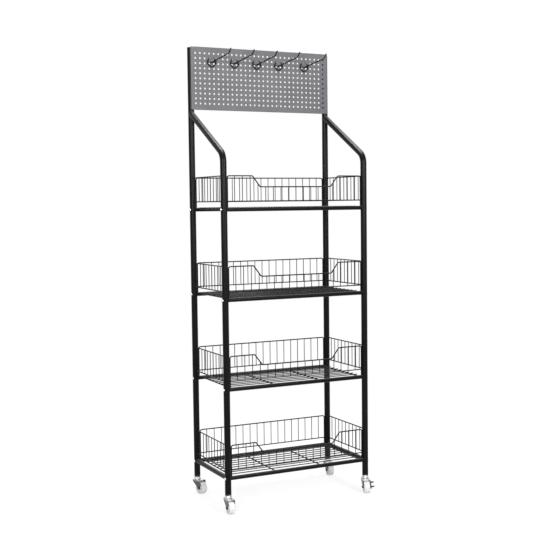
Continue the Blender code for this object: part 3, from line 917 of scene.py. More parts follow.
@dataclass
class PostFrame:
    """The four posts, their base rails and the plastic in their ends."""

    spacing: tuple[float, float] = (0.612, 0.316)
    tube_radius: float = 0.0125
    rail_radius: float = 0.0095
    wall: float = 0.0012
    sides: int = 32
    bend_height: float = 1.368
    bend_radius: float = 0.050
    bend_steps: int = 18
    brace_slope: float = math.radians(29.4)
    bead_radius: float = 0.0011
    bead_sides: int = 8
    turned_steps: int = 32
    spigot_gap: float = 0.00048
    cap_flat: float = 0.00775
    cap_shoulder: float = 0.45
    cap_rounding: Sequence[float] = (0.003, 0.0012, 0.0002, 0.0002, 0.0006)
    cap_rounding_steps: int = 4
    insert_bore: float = 0.0052
    insert_chamfer: Span = (0.0020, 0.0015)
    insert_rounding: Sequence[float] = (0.0006, 0.0002, 0.0004, 0.001, 0.0008)
    insert_rounding_steps: int = 3

    @property
    def spigot_radius(self) -> float:
        """Return the radius of the plastic that sits inside a post."""
        return self.tube_radius - self.wall - self.spigot_gap

    @property
    def clear_half(self) -> float:
        """Return half the clear width between the left and right posts."""
        return self.spacing[0] / 2 - self.tube_radius

    def upright(self, side: Side, row: Row) -> Upright:
        """Return the axis and radius of a post."""
        x, y = self.spacing
        return Upright(side.value * x / 2, row.value * y / 2, self.tube_radius)

    def build(self) -> None:
        """Build every piece of the frame."""
        for side in Side:
            self._back_post(side)
            self._front_post(side)
            self._base_rail(side)
            self._cap(side)
            for row in Row:
                self._insert(side, row)

    def _back_post(self, side: Side) -> None:
        """Build a straight post."""
        node = f"{side.name.lower()}_back_post"
        low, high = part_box(node)
        post = self.upright(side, Row.BACK)
        form = Form()
        form.pipe(
            [Vector((post.x, post.y, low.z)), Vector((post.x, post.y, high.z))],
            self.tube_radius,
            self.wall,
            self.sides,
        )
        form.piece(f"{node}_tube", POWDER_COAT, FRAME_BODY, [node])

    def _front_post(self, side: Side) -> None:
        """Build a post that bends back into a brace welded to the back post."""
        node = f"{side.name.lower()}_front_post"
        low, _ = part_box(node)
        front = self.upright(side, Row.FRONT)
        back = self.upright(side, Row.BACK)
        rise = (back.y - front.y) * math.tan(self.brace_slope)
        corners = [
            Vector((front.x, front.y, low.z)),
            Vector((front.x, front.y, self.bend_height)),
            Vector((back.x, back.y, self.bend_height + rise)),
        ]
        form = Form()
        path = filleted(corners, [self.bend_radius], self.bend_steps)
        _, seam = form.pipe(path, self.tube_radius, self.wall, self.sides, (None, back))
        form.bead(seam, (corners[2] - corners[1]).normalized(), self.bead_radius, self.bead_sides)
        form.piece(f"{node}_tube", POWDER_COAT, FRAME_BODY, [node])

    def _base_rail(self, side: Side) -> None:
        """Build the tube that ties a front post to a back post at the lowest tier."""
        node = f"{side.name.lower()}_base_rail"
        low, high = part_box(node)
        front = self.upright(side, Row.FRONT)
        back = self.upright(side, Row.BACK)
        height = (low.z + high.z) / 2
        ends = [Vector((front.x, low.y, height)), Vector((back.x, high.y, height))]
        form = Form()
        for seam in form.pipe(ends, self.rail_radius, self.wall, self.sides, (front, back)):
            form.bead(seam, Vector((0.0, 1.0, 0.0)), self.bead_radius, self.bead_sides)
        form.piece(f"{node}_tube", POWDER_COAT, FRAME_BODY, [node])

    def _cap(self, side: Side) -> None:
        """Build the plastic cap on a back post."""
        node = f"{side.name.lower()}_post_cap"
        low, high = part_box(node)
        post = self.upright(side, Row.BACK)
        _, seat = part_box(f"{side.name.lower()}_back_post")
        profile = [
            (0.0, high.z),
            (self.cap_flat, high.z),
            (self.tube_radius, high.z - self.cap_shoulder * (high.z - seat.z)),
            (self.tube_radius, seat.z),
            (self.spigot_radius, seat.z),
            (self.spigot_radius, low.z),
            (0.0, low.z),
        ]
        form = Form()
        pose = Matrix.Translation((post.x, post.y, 0.0))
        rounded = turns(profile, self.cap_rounding, self.cap_rounding_steps)
        form.lathe(rounded, self.turned_steps, pose)
        form.piece(f"{node}_moulding", BLACK_PLASTIC, FRAME_BODY, [node])

    def _insert(self, side: Side, row: Row) -> None:
        """Build the plastic insert that holds a caster's stem in the foot of a post."""
        corner = f"{row.name.lower()}_{side.name.lower()}"
        node = f"{corner}_post_insert"
        low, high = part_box(node)
        foot = f"{side.name.lower()}_{row.name.lower()}_post"
        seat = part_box(foot)[0].z
        post = self.upright(side, row)
        inset, rise = self.insert_chamfer
        profile = [
            (self.insert_bore, high.z),
            (self.spigot_radius, high.z),
            (self.spigot_radius, seat),
            (self.tube_radius, seat),
            (self.tube_radius, low.z + rise),
            (self.tube_radius - inset, low.z),
            (self.insert_bore, low.z),
        ]
        form = Form()
        pose = Matrix.Translation((post.x, post.y, 0.0))
        rounded = turns(profile, self.insert_rounding, self.insert_rounding_steps)
        form.lathe(rounded, self.turned_steps, pose, closed=True)
        form.piece(f"{node}_moulding", BLACK_PLASTIC, FRAME_BODY, [node])


@dataclass
class Basket:
    """One tier: a wire deck between two tubes, with guards round it."""

    tier: int
    frame: PostFrame
    first_height: float = 0.132
    pitch: float = 0.343
    tube_radius: float = 0.008
    tube_wall: float = 0.0012
    tube_sides: int = 24
    cross_radius: float = 0.0025
    cross_rise: float = 0.0028
    cross_to_post: float = 0.012
    inner_cross: float = 0.100
    long_radius: float = 0.0020
    long_count: int = 9
    long_overhang: float = 0.008
    long_end_rounding: float = 0.0006
    weld_depth: float = 0.0006
    guard_top: float = 0.127
    guard_bottom: float = 0.031
    frame_radius: float = 0.0024
    rail_radius: float = 0.0022
    upright_radius: float = 0.0015
    corner_radius: float = 0.008
    leg_to_post: float = 0.003
    long_uprights: int = 17
    upright_to_leg: float = 0.0293
    side_uprights: int = 9
    dip_depth: float = 0.042
    dip_floor: float = 0.308
    dip_run: float = 0.032
    dip_radius: float = 0.010
    wire_sides: int = 12
    thin_sides: int = 10
    bend_steps: int = 8

    @property
    def height(self) -> float:
        """Return the height of the middle of the shelf's tubes."""
        return self.first_height + (self.tier - 1) * self.pitch

    @property
    def outer_cross(self) -> float:
        """Return the distance of the outer cross wires from the middle."""
        return self.frame.clear_half - self.cross_to_post

    @property
    def long_reach(self) -> float:
        """Return half the length of the deck's long wires."""
        return self.outer_cross + self.long_overhang

    @property
    def leg_reach(self) -> float:
        """Return the distance of a long guard's legs from the middle."""
        return self.frame.clear_half - self.leg_to_post

    def build(self) -> None:
        """Build the deck and its four guards."""
        self._deck()
        for guard in Guard:
            self._long_guard(guard)
        for side in Side:
            self._side_guard(side)

    def _deck(self) -> None:
        """Build the two tubes and the welded grid between them."""
        half = self.frame.spacing[1] / 2
        form = Form()
        for row in Row:
            ends = [
                Vector((side.value * self.long_reach, row.value * half, self.height)) for side in Side
            ]
            seats = (self.frame.upright(Side.LEFT, row), self.frame.upright(Side.RIGHT, row))
            form.pipe(ends, self.tube_radius, self.tube_wall, self.tube_sides, seats)
        reach = half - self.tube_radius + self.tube_wall
        rise = self.height + self.cross_rise
        for x in (-self.outer_cross, -self.inner_cross, self.inner_cross, self.outer_cross):
            ends = [Vector((x, -reach, rise)), Vector((x, reach, rise))]
            form.bar(ends, self.cross_radius, self.wire_sides)
        top = rise + self.cross_radius + self.long_radius - self.weld_depth
        step = 2 * half / (self.long_count + 1)
        for index in range(self.long_count):
            y = -half + step * (index + 1)
            ends = [Vector((-self.long_reach, y, top)), Vector((self.long_reach, y, top))]
            form.bar(ends, self.long_radius, self.wire_sides, self.long_end_rounding, steps=2)
        form.piece(f"shelf_{self.tier}_deck", POWDER_COAT, FRAME_BODY, [f"shelf_{self.tier}"])

    def _top_at(self, x: float, dip: float) -> float:
        """Return the height of a long guard's top wire above the tubes, at x."""
        share = (self.dip_floor / 2 + self.dip_run - abs(x)) / self.dip_run
        return self.guard_top - dip * min(max(share, 0.0), 1.0)

    def _long_guard(self, guard: Guard) -> None:
        """Build a guard along the front, which dips in its middle, or along the back."""
        row = Row[guard.name]
        dip = self.dip_depth if guard is Guard.FRONT else 0.0
        node = f"{guard.value}_guard_{self.tier}"
        y = row.value * self.frame.spacing[1] / 2
        left = [
            Vector((-self.leg_reach, y, self.height + self.tube_radius - self.weld_depth)),
            Vector((-self.leg_reach, y, self.height + self.guard_top)),
        ]
        radii = [self.corner_radius]
        if dip > 0.0:
            mouth = self.dip_floor / 2 + self.dip_run
            left.append(Vector((-mouth, y, self.height + self.guard_top)))
            left.append(Vector((-self.dip_floor / 2, y, self.height + self.guard_top - dip)))
            radii += [self.dip_radius, self.dip_radius]
        form = Form()
        corners = left + mirrored(left)
        form.bar(filleted(corners, radii + radii[::-1], self.bend_steps), self.frame_radius, self.wire_sides)
        low = self.height + self.guard_bottom
        ends = [Vector((-self.leg_reach, y, low)), Vector((self.leg_reach, y, low))]
        form.bar(ends, self.rail_radius, self.wire_sides)
        step = 2 * (self.leg_reach - self.upright_to_leg) / (self.long_uprights - 1)
        for index in range(self.long_uprights):
            x = (index - (self.long_uprights - 1) / 2) * step
            high = self.height + self._top_at(x, dip)
            form.bar([Vector((x, y, low)), Vector((x, y, high))], self.upright_radius, self.thin_sides)
        form.piece(f"{node}_wires", POWDER_COAT, FRAME_BODY, [node])

    def _side_guard(self, side: Side) -> None:
        """Build a guard between a front post and a back post."""
        node = f"{side.name.lower()}_guard_{self.tier}"
        front = self.frame.upright(side, Row.FRONT)
        back = self.frame.upright(side, Row.BACK)
        low = self.height + self.guard_bottom
        high = self.height + self.guard_top
        reach = back.y - back.radius + self.weld_depth
        form = Form()
        for z in (low, high):
            ends = [Vector((front.x, -reach, z)), Vector((back.x, reach, z))]
            form.bar(ends, self.frame_radius, self.wire_sides)
        step = 2 * (back.y - back.radius) / (self.side_uprights + 1)
        for index in range(self.side_uprights):
            y = (index - (self.side_uprights - 1) / 2) * step
            ends = [Vector((front.x, y, low)), Vector((front.x, y, high))]
            form.bar(ends, self.upright_radius, self.thin_sides)
        form.piece(f"{node}_wires", POWDER_COAT, FRAME_BODY, [node])


@dataclass
class ShelfBolts:
    """The bolts that hold the shelf tubes to the posts, seen on the outer sides."""

    baskets: Sequence[Basket]
    frame: PostFrame
    washer_radius: float = 0.0056
    head_radius: float = 0.0046
    head_height: float = 0.0028
    head_base: float = 0.0006
    dome_shares: Sequence[Span] = ((0.96, 0.55), (0.80, 0.88), (0.58, 1.0))
    washer_top: float = 0.0004
    sunk: float = 0.0012
    socket_radius: float = 0.0021
    socket_depth: float = 0.0016
    socket_cone: float = 0.0004
    steps: int = 24

    def build(self) -> None:
        """Build all the bolt heads as one piece."""
        form = Form()
        for basket in self.baskets:
            for side in Side:
                for row in Row:
                    self._head(form, self.frame.upright(side, row), side, basket.height)
        form.piece("shelf_bolts", ZINC_PLATE, FRAME_BODY, sharp=CRISP_EDGE)

    def _head(self, form: Form, post: Upright, side: Side, height: float) -> None:
        """Add one domed head with a hexagon socket."""
        dome = self.head_height
        floor = dome - self.socket_depth
        profile = [
            Turn(0.0, -self.sunk),
            Turn(self.washer_radius, -self.sunk),
            Turn(self.washer_radius, self.washer_top),
            Turn(self.head_radius, self.head_base),
            *(Turn(self.head_radius * across, dome * up) for across, up in self.dome_shares),
            Turn(self.socket_radius, dome, HEXAGON),
            Turn(self.socket_radius, floor, HEXAGON),
            Turn(0.0, floor - self.socket_cone),
        ]
        turn = Matrix.Rotation(side.value * math.pi / 2, 4, "Y")
        spot = Vector((post.x + side.value * post.radius, post.y, height))
        form.lathe(profile, self.steps, Matrix.Translation(spot) @ turn)


@dataclass
class HeaderPanel:
    """The perforated sheet behind the hooks, folded back along its top and bottom."""

    frame: PostFrame
    pitch: float = 0.020
    hole: float = 0.0065
    hole_corner: float = 0.0009
    edge_margin: float = 0.018
    thickness: float = 0.0012
    flange_end_gap: float = 0.003
    edge_rounding: float = 0.0003

    def build(self) -> None:
        """Build the sheet."""
        low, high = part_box("pegboard")
        middle = (low + high) / 2
        width, height = high.x - low.x, high.z - low.z
        columns = 1 + int((width - 2 * self.edge_margin) / self.pitch)
        rows = 1 + int((height - 2 * self.edge_margin) / self.pitch)
        plane = low.y + self.thickness / 2
        form = Form()
        for column in range(columns):
            for row in range(rows):
                x = middle.x + (column - (columns - 1) / 2) * self.pitch
                z = middle.z + (row - (rows - 1) / 2) * self.pitch
                self._cell(form, Vector((x, plane, z)))
        bmesh.ops.remove_doubles(form.mesh, verts=form.mesh.verts, dist=SMALLEST)
        grid = Vector((columns * self.pitch / 2, 0.0, rows * self.pitch / 2))
        half = Vector((width / 2, 0.0, height / 2 - self.thickness / 2))
        self._border(form, Vector((middle.x, plane, middle.z)), grid, half)
        self._flanges(form, middle.z, half.z, high.y - plane)
        modify = thickened(self.thickness, self.edge_rounding)
        form.piece("pegboard_sheet", PANEL_PAINT, FRAME_BODY, ["pegboard"], modify=modify)

    def _cell(self, form: Form, centre: Vector) -> None:
        """Add one cell of the grid: a square with a round-cornered hole in it."""
        edge = self.hole / 2
        core = edge - self.hole_corner
        outer = self.pitch / 2
        inner_row, outer_row = [], []
        for quarter in range(4):
            turn = Matrix.Rotation(-quarter * math.pi / 2, 3, "Y")
            slant = core + self.hole_corner * math.sqrt(0.5)
            for inside, outside in (
                ((edge, core), (outer, core)),
                ((slant, slant), (outer, outer)),
                ((core, edge), (core, outer)),
            ):
                inner_row.append(centre + turn @ Vector((inside[0], 0.0, inside[1])))
                outer_row.append(centre + turn @ Vector((outside[0], 0.0, outside[1])))
        form.band(inner_row, outer_row)

    @staticmethod
    def _border(form: Form, centre: Vector, grid: Vector, half: Vector) -> None:
        """Extend the sheet from the grid of cells to its own edges.

        Args:
            form: The sheet.
            centre: The sheet's middle.
            grid: Half the grid's width and height.
            half: Half the sheet's width and height.
        """

        def on_edge(vert: bmesh.types.BMVert) -> bool:
            """Tell whether a point lies on the grid's outer edge."""
            offset = vert.co - centre
            gap = min(grid.x - abs(offset.x), grid.z - abs(offset.z))
            return gap < SMALLEST

        rim = [
            edge
            for edge in form.mesh.edges
            if edge.is_boundary and all(on_edge(vert) for vert in edge.verts)
        ]
        made = bmesh.ops.extrude_edge_only(form.mesh, edges=rim)["geom"]
        for vert in made:
            if isinstance(vert, bmesh.types.BMVert):
                offset = vert.co - centre
                offset.x *= half.x / grid.x
                offset.z *= half.z / grid.z
                vert.co = centre + offset

    def _flanges(self, form: Form, middle: float, half: float, depth: float) -> None:
        """Fold the sheet back along its top and bottom edges.

        Args:
            form: The sheet.
            middle: The height of its middle.
            half: Half its height.
            depth: How far the folds reach back.
        """

        reach = self.frame.clear_half - self.flange_end_gap

        def folds(vert: bmesh.types.BMVert) -> bool:
            """Tell whether a point lies on a stretch of edge that is folded."""
            return abs(abs(vert.co.z - middle) - half) < SMALLEST and abs(vert.co.x) < reach

        edges = [edge for edge in form.mesh.edges if edge.is_boundary and all(map(folds, edge.verts))]
        made = bmesh.ops.extrude_edge_only(form.mesh, edges=edges)["geom"]
        for vert in made:
            if isinstance(vert, bmesh.types.BMVert):
                vert.co.y += depth


@dataclass
class PegHook:
    """A wire hook with two prongs in neighbouring holes, a loop, a cross bar and an arm."""

    number: int
    pitch: float = 0.020
    sheet: float = 0.0012
    gap: float = 0.0003
    wire_radius: float = 0.0022
    bar_radius: float = 0.0020
    arm_radius: float = 0.0026
    prong_rise: float = 0.011
    prong_bend: float = 0.0028
    loop_bulge: float = 0.0080
    loop_shoulder: float = 0.009
    loop_waist: float = 0.019
    loop_drop: float = 0.036
    loop_bend: float = 0.008
    bar_drop: float = 0.0155
    arm_length: float = 0.172
    arm_slope: float = math.radians(5.0)
    tip_length: float = 0.026
    tip_slope: float = math.radians(40.0)
    tip_bend: float = 0.012
    loop_end_rounding: float = 0.0008
    tip_rounding: float = 0.0022
    sides: int = 14
    steps: int = 8

    def build(self, joints: Mapping[str, dict]) -> None:
        """Build the hook where its joint holds it.

        Args:
            joints: The frame's joints by name.
        """
        node = f"hook_{self.number}"
        half = self.pitch / 2
        face = -self.sheet / 2 - self.gap - self.wire_radius
        left = [
            Vector((-half, -face, self.prong_rise)),
            Vector((-half, -face, 0.0)),
            Vector((-half, face, 0.0)),
            Vector((-half - self.loop_bulge, face, -self.loop_shoulder)),
            Vector((-half - self.loop_bulge, face, -self.loop_waist)),
        ]
        radii = [self.prong_bend, self.prong_bend, self.loop_bend, self.loop_bend]
        corners = left + [Vector((0.0, face, -self.loop_drop))] + mirrored(left)
        form = Form()
        loop = filleted(corners, [*radii, self.loop_bend, *reversed(radii)], self.steps)
        form.bar(loop, self.wire_radius, self.sides, self.loop_end_rounding)
        reach = half + self.loop_bulge
        ends = [Vector((-reach, face, -self.bar_drop)), Vector((reach, face, -self.bar_drop))]
        form.bar(ends, self.bar_radius, self.sides)
        start = Vector((0.0, face, -self.bar_drop))
        bend = start + self.arm_length * Vector((0.0, -1.0, math.tan(self.arm_slope)))
        tip = bend + self.tip_length * Vector((0.0, -math.cos(self.tip_slope), math.sin(self.tip_slope)))
        arm = filleted([start, bend, tip], [self.tip_bend], self.steps)
        form.bar(arm, self.arm_radius, self.sides, self.tip_rounding, steps=4)
        form.moved(Matrix.Translation(joints[f"{node}_lift"]["pos_m"]))
        form.piece(f"{node}_wire", POWDER_COAT, node, [node])


@dataclass
class Caster:
    """A swivel caster: stem, pressed fork, wheel, axle and, on one side, a brake lever."""

    corner: str
    trail: float = 0.024
    wheel_radius: float = 0.025
    wheel_half: float = 0.0120
    side_gap: float = 0.0015
    wheel_bore: float = 0.0036
    hub_radius: float = 0.0080
    recess_depth: float = 0.0028
    recess_span: Span = (0.0086, 0.0185)
    rim_inner: float = 0.0195
    rim_drop: float = 0.0006
    rim_chamfer: float = 0.0022
    tread_drop: float = 0.0004
    tread_edge: float = 0.0030
    wheel_rounding: Sequence[float] = (0.0006, 0.0006, 0.0008, 0.0006, 0.0014, 0.0020, 0.012)
    wheel_rounding_steps: int = 4
    sheet: float = 0.0020
    web_top: float = 0.058
    fork_bend: float = 0.0034
    fork_bend_steps: int = 6
    fork_front: float = 0.013
    fork_front_steps: int = 8
    fork_back: float = 0.033
    fork_back_step: float = 0.0007
    fork_edge: float = 0.0005
    leg_rows: int = 4
    skirt: float = 0.050
    boss_radius: float = 0.007
    boss_steps: int = 16
    head_radius: float = 0.014
    head_top: float = 0.0644
    head_flat: float = 0.0100
    head_bore: float = 0.0042
    head_foot_inset: float = 0.0022
    head_overlap: float = 0.0003
    head_bevel_share: float = 0.30
    head_rounding: Sequence[float] = (0.001, 0.0015, 0.0012, 0.0006)
    stem_radius: float = 0.0049
    flange_radius: float = 0.0130
    flange_height: float = 0.003
    kingpin_radius: float = 0.0039
    rivet_radius: float = 0.0060
    rivet_height: float = 0.0025
    stem_rounding: Sequence[float] = (0.001, 0.0005, 0.0012, 0.0012, 0.0003, 0.0003, 0.0004, 0.001)
    turned_rounding_steps: int = 3
    axle_head: float = 0.005
    axle_shank: float = 0.003
    axle_thickness: float = 0.003
    axle_dome: Sequence[Span] = ((0.55, 1.0), (0.86, 0.72), (1.0, 0.30))
    nut_share: float = 0.75
    nut_top_share: float = 0.9
    nut_top_radius: float = 0.00425
    thread_radii: Span = (0.0027, 0.0024)
    gap: float = 0.0003
    lever_thickness: float = 0.002
    lever_eye: float = 0.0075
    lever_rise: float = 0.021
    lever_reach: float = 0.016
    lip_length: float = 0.013
    lip_width: float = 0.010
    lip_thickness: float = 0.006
    lip_taper: float = 0.55
    lip_steps: int = 8
    lever_edge: float = 0.0006
    eye_start: float = math.radians(225.0)
    eye_steps: int = 12
    steps: int = 48

    def build(self, joints: Mapping[str, dict]) -> None:
        """Build the caster where its joints hold it.

        Args:
            joints: The frame's joints by name.
        """
        swivel = joints[f"{self.corner}_swivel"]["pos_m"]
        axis = joints[f"{self.corner}_roll"]["axis"]
        heading = math.atan2(axis[1], axis[0])
        pose = Matrix.Translation((swivel[0], swivel[1], 0.0)) @ Matrix.Rotation(heading, 4, "Z")
        self._stem(pose)
        self._fork(pose)
        self._wheel(pose)
        braked = f"{self.corner}_brake_press" in joints
        self._axle(pose, self.lever_thickness + self.gap if braked else 0.0)
        if braked:
            self._lever(pose)

    def _hub(self) -> Matrix:
        """Return the place of the axle, with Z along it."""
        spot = Matrix.Translation((0.0, -self.trail, self.wheel_radius))
        return spot @ Matrix.Rotation(math.pi / 2, 4, "Y")

    def _stem(self, pose: Matrix) -> None:
        """Build the stem with its flange and the rivet that it ends in."""
        node = f"{self.corner}_stem"
        low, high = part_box(node)
        flange = self.head_top + self.gap
        profile = [
            (0.0, high.z),
            (self.stem_radius, high.z),
            (self.stem_radius, flange + self.flange_height),
            (self.flange_radius, flange + self.flange_height),
            (self.flange_radius, flange),
            (self.kingpin_radius, flange),
            (self.kingpin_radius, low.z + self.rivet_height),
            (self.rivet_radius, low.z + self.rivet_height),
            (self.rivet_radius, low.z),
            (0.0, low.z),
        ]
        form = Form()
        form.lathe(turns(profile, self.stem_rounding, self.turned_rounding_steps), self.steps, pose)
        form.piece(f"{node}_turning", ZINC_PLATE, FRAME_BODY, [node])

    def _leg_edge(self, y: float) -> float:
        """Return the height of the lower edge of the fork's legs, at y."""
        offset = y + self.trail
        if abs(offset) <= self.boss_radius:
            return self.wheel_radius - math.sqrt(self.boss_radius**2 - offset**2)
        if offset < 0.0:
            share = (-offset - self.boss_radius) / (self.fork_back - self.trail - self.boss_radius)
        else:
            share = (offset - self.boss_radius) / (self.fork_front + self.trail - self.boss_radius)
        return self.wheel_radius + share * (self.skirt - self.wheel_radius)

    def _section(self, y: float) -> list[Vector]:
        """Return the fork's folded section at y, from one leg's edge to the other's."""
        side = self.wheel_half + self.side_gap + self.sheet / 2
        top = self.web_top - self.sheet / 2
        left = [Vector((-side, y, self._leg_edge(y))), Vector((-side, y, top))]
        corners = left + mirrored(left)
        path = filleted(corners, [self.fork_bend, self.fork_bend], self.fork_bend_steps)
        leg = [path[0].lerp(path[1], row / self.leg_rows) for row in range(self.leg_rows)]
        return leg + path[1:-1] + mirrored(leg)

    def _fork(self, pose: Matrix) -> None:
        """Build the pressed fork and the race on top of it."""
        node = f"{self.corner}_fork"
        stations = [-self.fork_back + step * self.fork_back_step for step in range(3)]
        for step in range(self.boss_steps + 1):
            angle = math.pi * step / self.boss_steps
            stations.append(-self.trail - self.boss_radius * math.cos(angle))
        start = self.boss_radius - self.trail
        stride = (self.fork_front - start) / self.fork_front_steps
        stations += [start + stride * (step + 1) for step in range(self.fork_front_steps)]
        form = Form()
        form.sheet([self._section(y) for y in stations])
        form.moved(pose)
        modify = thickened(self.sheet, self.fork_edge)
        form.piece(f"{node}_pressing", PRESSED_ZINC, f"{self.corner}_caster", [node], modify=modify)
        bevel = self.head_bevel_share * (self.head_top - self.web_top)
        foot = self.web_top - self.head_overlap
        profile = [
            (self.head_bore, self.head_top),
            (self.head_flat, self.head_top),
            (self.head_radius, self.head_top - bevel),
            (self.head_radius, self.web_top + bevel),
            (self.head_radius - self.head_foot_inset, foot),
            (self.head_bore, foot),
        ]
        race = Form()
        rounded = turns(profile, self.head_rounding, self.turned_rounding_steps)
        race.lathe(rounded, self.steps, pose, closed=True)
        race.piece(f"{node}_race", ZINC_PLATE, f"{self.corner}_caster")

    def _wheel(self, pose: Matrix) -> None:
        """Build the moulded wheel, crowned on its tread and recessed on its faces."""
        node = f"{self.corner}_wheel"
        half, radius = self.wheel_half, self.wheel_radius
        face = [
            (self.wheel_bore, half),
            (self.hub_radius, half),
            (self.recess_span[0], half - self.recess_depth),
            (self.recess_span[1], half - self.recess_depth),
            (self.rim_inner, half - self.rim_drop),
            (radius - self.rim_chamfer, half - self.rim_drop),
            (radius - self.tread_drop, half - self.tread_edge),
            (radius, 0.0),
        ]
        profile = face + [(across, -along) for across, along in reversed(face[:-1])]
        rounding = [*self.wheel_rounding, *self.wheel_rounding[-2::-1]]
        rounded = turns(profile, rounding, self.wheel_rounding_steps)
        form = Form()
        form.lathe(rounded, self.steps, pose @ self._hub(), closed=True)
        form.piece(f"{node}_moulding", NYLON, f"{self.corner}_roller", [node])

    def _axle(self, pose: Matrix, extra: float) -> None:
        """Build the axle bolt with a round head and a hexagon nut.

        Args:
            pose: The caster's place.
            extra: The room that a lever takes under the head.
        """
        node = f"{self.corner}_axle"
        leg = self.wheel_half + self.side_gap + self.sheet + self.gap
        high, thick = leg + extra, self.axle_thickness
        nut_top = -leg - thick * self.nut_top_share
        profile = [
            Turn(0.0, high + thick),
            *(Turn(self.axle_head * across, high + thick * up) for across, up in self.axle_dome),
            Turn(self.axle_head, high),
            Turn(self.axle_shank, high),
            Turn(self.axle_shank, -leg),
            Turn(self.axle_head, -leg, HEXAGON),
            Turn(self.axle_head, -leg - thick * self.nut_share, HEXAGON),
            Turn(self.nut_top_radius, nut_top),
            Turn(self.thread_radii[0], nut_top),
            Turn(self.thread_radii[1], -leg - thick),
            Turn(0.0, -leg - thick),
        ]
        form = Form()
        form.lathe(profile, self.steps, pose @ self._hub())
        form.piece(f"{node}_bolt", DARK_STEEL, f"{self.corner}_caster", [node], sharp=CRISP_EDGE)

    def _lever(self, pose: Matrix) -> None:
        """Build the brake lever, a plate round the axle with two lips to step on."""
        node = f"{self.corner}_brake_lever"
        start = self.wheel_half + self.side_gap + self.sheet + self.gap
        outline = []
        for step in range(self.eye_steps + 1):
            angle = self.eye_start + math.pi * step / self.eye_steps
            outline.append((self.lever_eye * math.cos(angle), self.lever_eye * math.sin(angle)))
        outline += [
            (self.lip_width / 2, self.lever_rise),
            (-self.lip_width / 2, self.lever_rise),
            (-self.lever_reach, self.lever_eye),
            (-self.lever_reach, -self.lip_thickness),
        ]
        form = Form()
        points = [Vector((start, y - self.trail, z + self.wheel_radius)) for y, z in outline]
        form.slab(points, Vector((self.lever_thickness, 0.0, 0.0)))
        lips = (
            (-self.lip_width / 2, self.lip_width / 2, self.lever_rise),
            (-self.lever_reach, -self.lever_eye, self.lip_thickness),
        )
        for back, front, top in lips:
            self._lip(form, start, back - self.trail, front - self.trail, top + self.wheel_radius)
        form.moved(pose)
        modify = softened(self.lever_edge, segments=3)
        form.piece(f"{node}_pressing", DARK_STEEL, f"{self.corner}_brake", [node], modify=modify)

    def _lip(self, form: Form, start: float, back: float, front: float, top: float) -> None:
        """Add a lip, rounded at its outer end.

        Args:
            form: The lever.
            start: Where the lip leaves the plate.
            back: Its back edge.
            front: Its front edge.
            top: The height of its upper face.
        """
        end = start + self.lever_thickness + self.lip_length
        half = (front - back) / 2
        middle = (front + back) / 2
        outline = [Vector((start + self.gap, back, top)), Vector((end - half, back, top))]
        for step in range(1, self.lip_steps):
            angle = math.pi * step / self.lip_steps
            reach = half * math.sin(angle)
            outline.append(Vector((end - half + reach, middle - half * math.cos(angle), top)))
        outline += [Vector((end - half, front, top)), Vector((start + self.gap, front, top))]
        under = []
        for point in outline:
            share = 1.0 - (1.0 - self.lip_taper) * (point.x - start) / (end - start)
            under.append(point - Vector((0.0, 0.0, self.lip_thickness * share)))
        form.loft([outline, under])


@dataclass(frozen=True)
class Lamp:
    """A square soft light that points at the rack."""

    name: str
    place: Place
    size: float
    watts: float
    target: Place = (0.0, 0.0, 0.9)

    def build(self) -> None:
        """Add the lamp to the scene."""
        data = bpy.data.lights.new(self.name, "AREA")
        data.energy = self.watts
        data.size = self.size
        made = bpy.data.objects.new(self.name, data)
        made.location = self.place
        way = Vector(self.target) - Vector(self.place)
        made.rotation_euler = way.to_track_quat("-Z", "Y").to_euler()
        bpy.context.scene.collection.objects.link(made)


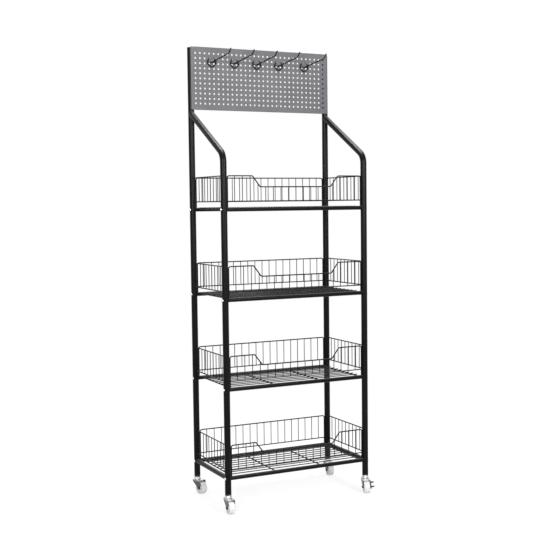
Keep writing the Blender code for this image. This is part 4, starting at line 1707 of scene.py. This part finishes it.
@dataclass
class Studio:
    """A white room with soft light, and the camera at the photograph's angle."""

    target: Place = (-0.0175, 0.0, 0.8935)
    distance: float = 4.1583
    azimuth: float = math.radians(26.18)
    elevation: float = math.radians(3.91)
    roll: float = math.radians(-0.676)
    lens: float = 67.32
    sensor: float = 36.0
    fill: float = 0.30
    floor_reach: float = 30.0
    floor_steps: int = 64
    floor_paint: Colour = (0.86, 0.86, 0.86)
    floor_own_share: float = 0.74
    floor_spread: Span = (0.45, 2.6)
    lamps: Sequence[Lamp] = (
        Lamp("key_left", (-2.4, -2.9, 1.9), 1.3, 100.0),
        Lamp("key_right", (0.6, -3.6, 1.9), 1.3, 100.0),
        Lamp("top", (0.0, 0.1, 3.4), 1.6, 130.0),
        Lamp("back", (0.6, 3.4, 2.6), 2.0, 25.0),
    )

    def build(self) -> None:
        """Build the room, the lamps and the camera."""
        bpy.context.scene.view_settings.view_transform = "Standard"
        self._world()
        self._floor()
        for lamp in self.lamps:
            lamp.build()
        self._camera()

    @staticmethod
    def _seen(graph: ShaderGraph) -> Socket:
        """Return 1 for a ray that shows the background, and 0 for one that only lights."""
        kinds = ("Is Camera Ray", "Is Glossy Ray", "Is Transmission Ray")
        rays = [graph.node("ShaderNodeLightPath", output=kind) for kind in kinds]
        return rays[0].over(rays[1]).over(rays[2])

    def _world(self) -> None:
        """Make a world that is white to look at and gives a soft fill."""
        world = bpy.data.worlds.new("studio")
        world.use_nodes = True
        bpy.context.scene.world = world
        graph = ShaderGraph(world.node_tree)
        strength = self.fill + (1.0 - self.fill) * self._seen(graph)
        paint = {"Color": (1.0, 1.0, 1.0, 1.0), "Strength": strength}
        light = graph.node("ShaderNodeBackground", None, paint)
        graph.node("ShaderNodeOutputWorld", None, {"Surface": light})

    def _floor(self) -> None:
        """Lay a pale floor that keeps a faint shadow."""
        material = bpy.data.materials.new("pale_floor")
        material.use_nodes = True
        graph = ShaderGraph(material.node_tree)
        paint = graph.node("ShaderNodeBsdfDiffuse", None, {"Color": (*self.floor_paint, 1.0)})
        glow = graph.node("ShaderNodeEmission", None, {"Strength": 1.0})
        way = graph.node("ShaderNodeVectorMath", {"operation": "LENGTH"}, {0: graph.place()}, "Value")
        spread = graph.ramp(way, self.floor_spread)
        share = self._seen(graph) * (self.floor_own_share + (1.0 - self.floor_own_share) * spread)
        mixed = graph.node("ShaderNodeMixShader", None, {0: share, 1: paint, 2: glow})
        graph.node("ShaderNodeOutputMaterial", None, {"Surface": mixed})
        work = bmesh.new()
        bmesh.ops.create_circle(work, cap_ends=True, segments=self.floor_steps, radius=self.floor_reach)
        data = bpy.data.meshes.new("floor")
        work.to_mesh(data)
        work.free()
        data.materials.append(material)
        floor = bpy.data.objects.new("floor", data)
        bpy.context.scene.collection.objects.link(floor)

    def _camera(self) -> None:
        """Set the camera at the photograph's place and angle."""
        data = bpy.data.cameras.new("camera")
        data.sensor_width = self.sensor
        data.lens = self.lens
        camera = bpy.data.objects.new("camera", data)
        back = Vector(
            (
                -math.sin(self.azimuth) * math.cos(self.elevation),
                -math.cos(self.azimuth) * math.cos(self.elevation),
                math.sin(self.elevation),
            )
        )
        turn = (-back).to_track_quat("-Z", "Y").to_matrix().to_4x4()
        spot = Matrix.Translation(Vector(self.target) + back * self.distance)
        camera.matrix_world = spot @ turn @ Matrix.Rotation(self.roll, 4, "Z")
        bpy.context.scene.collection.objects.link(camera)
        bpy.context.scene.camera = camera


def clear_scene() -> None:
    """Remove what the scene starts with."""
    for obj in list(bpy.data.objects):
        bpy.data.objects.remove(obj, do_unlink=True)


def main() -> None:
    """Build the rack round its frame, and the studio round the rack."""
    logging.basicConfig(level=logging.INFO, format="%(message)s")
    clear_scene()
    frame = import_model()
    joints = {joint["name"]: joint for joint in frame["joints"]}
    posts = PostFrame()
    posts.build()
    baskets = [Basket(tier + 1, posts) for tier in range(TIERS)]
    for basket in baskets:
        basket.build()
    ShelfBolts(baskets, posts).build()
    HeaderPanel(posts).build()
    for number in range(HOOKS):
        PegHook(number + 1).build(joints)
    for row in Row:
        for side in Side:
            Caster(f"{row.name.lower()}_{side.name.lower()}").build(joints)
    Studio().build()


if __name__ == "__main__":
    main()
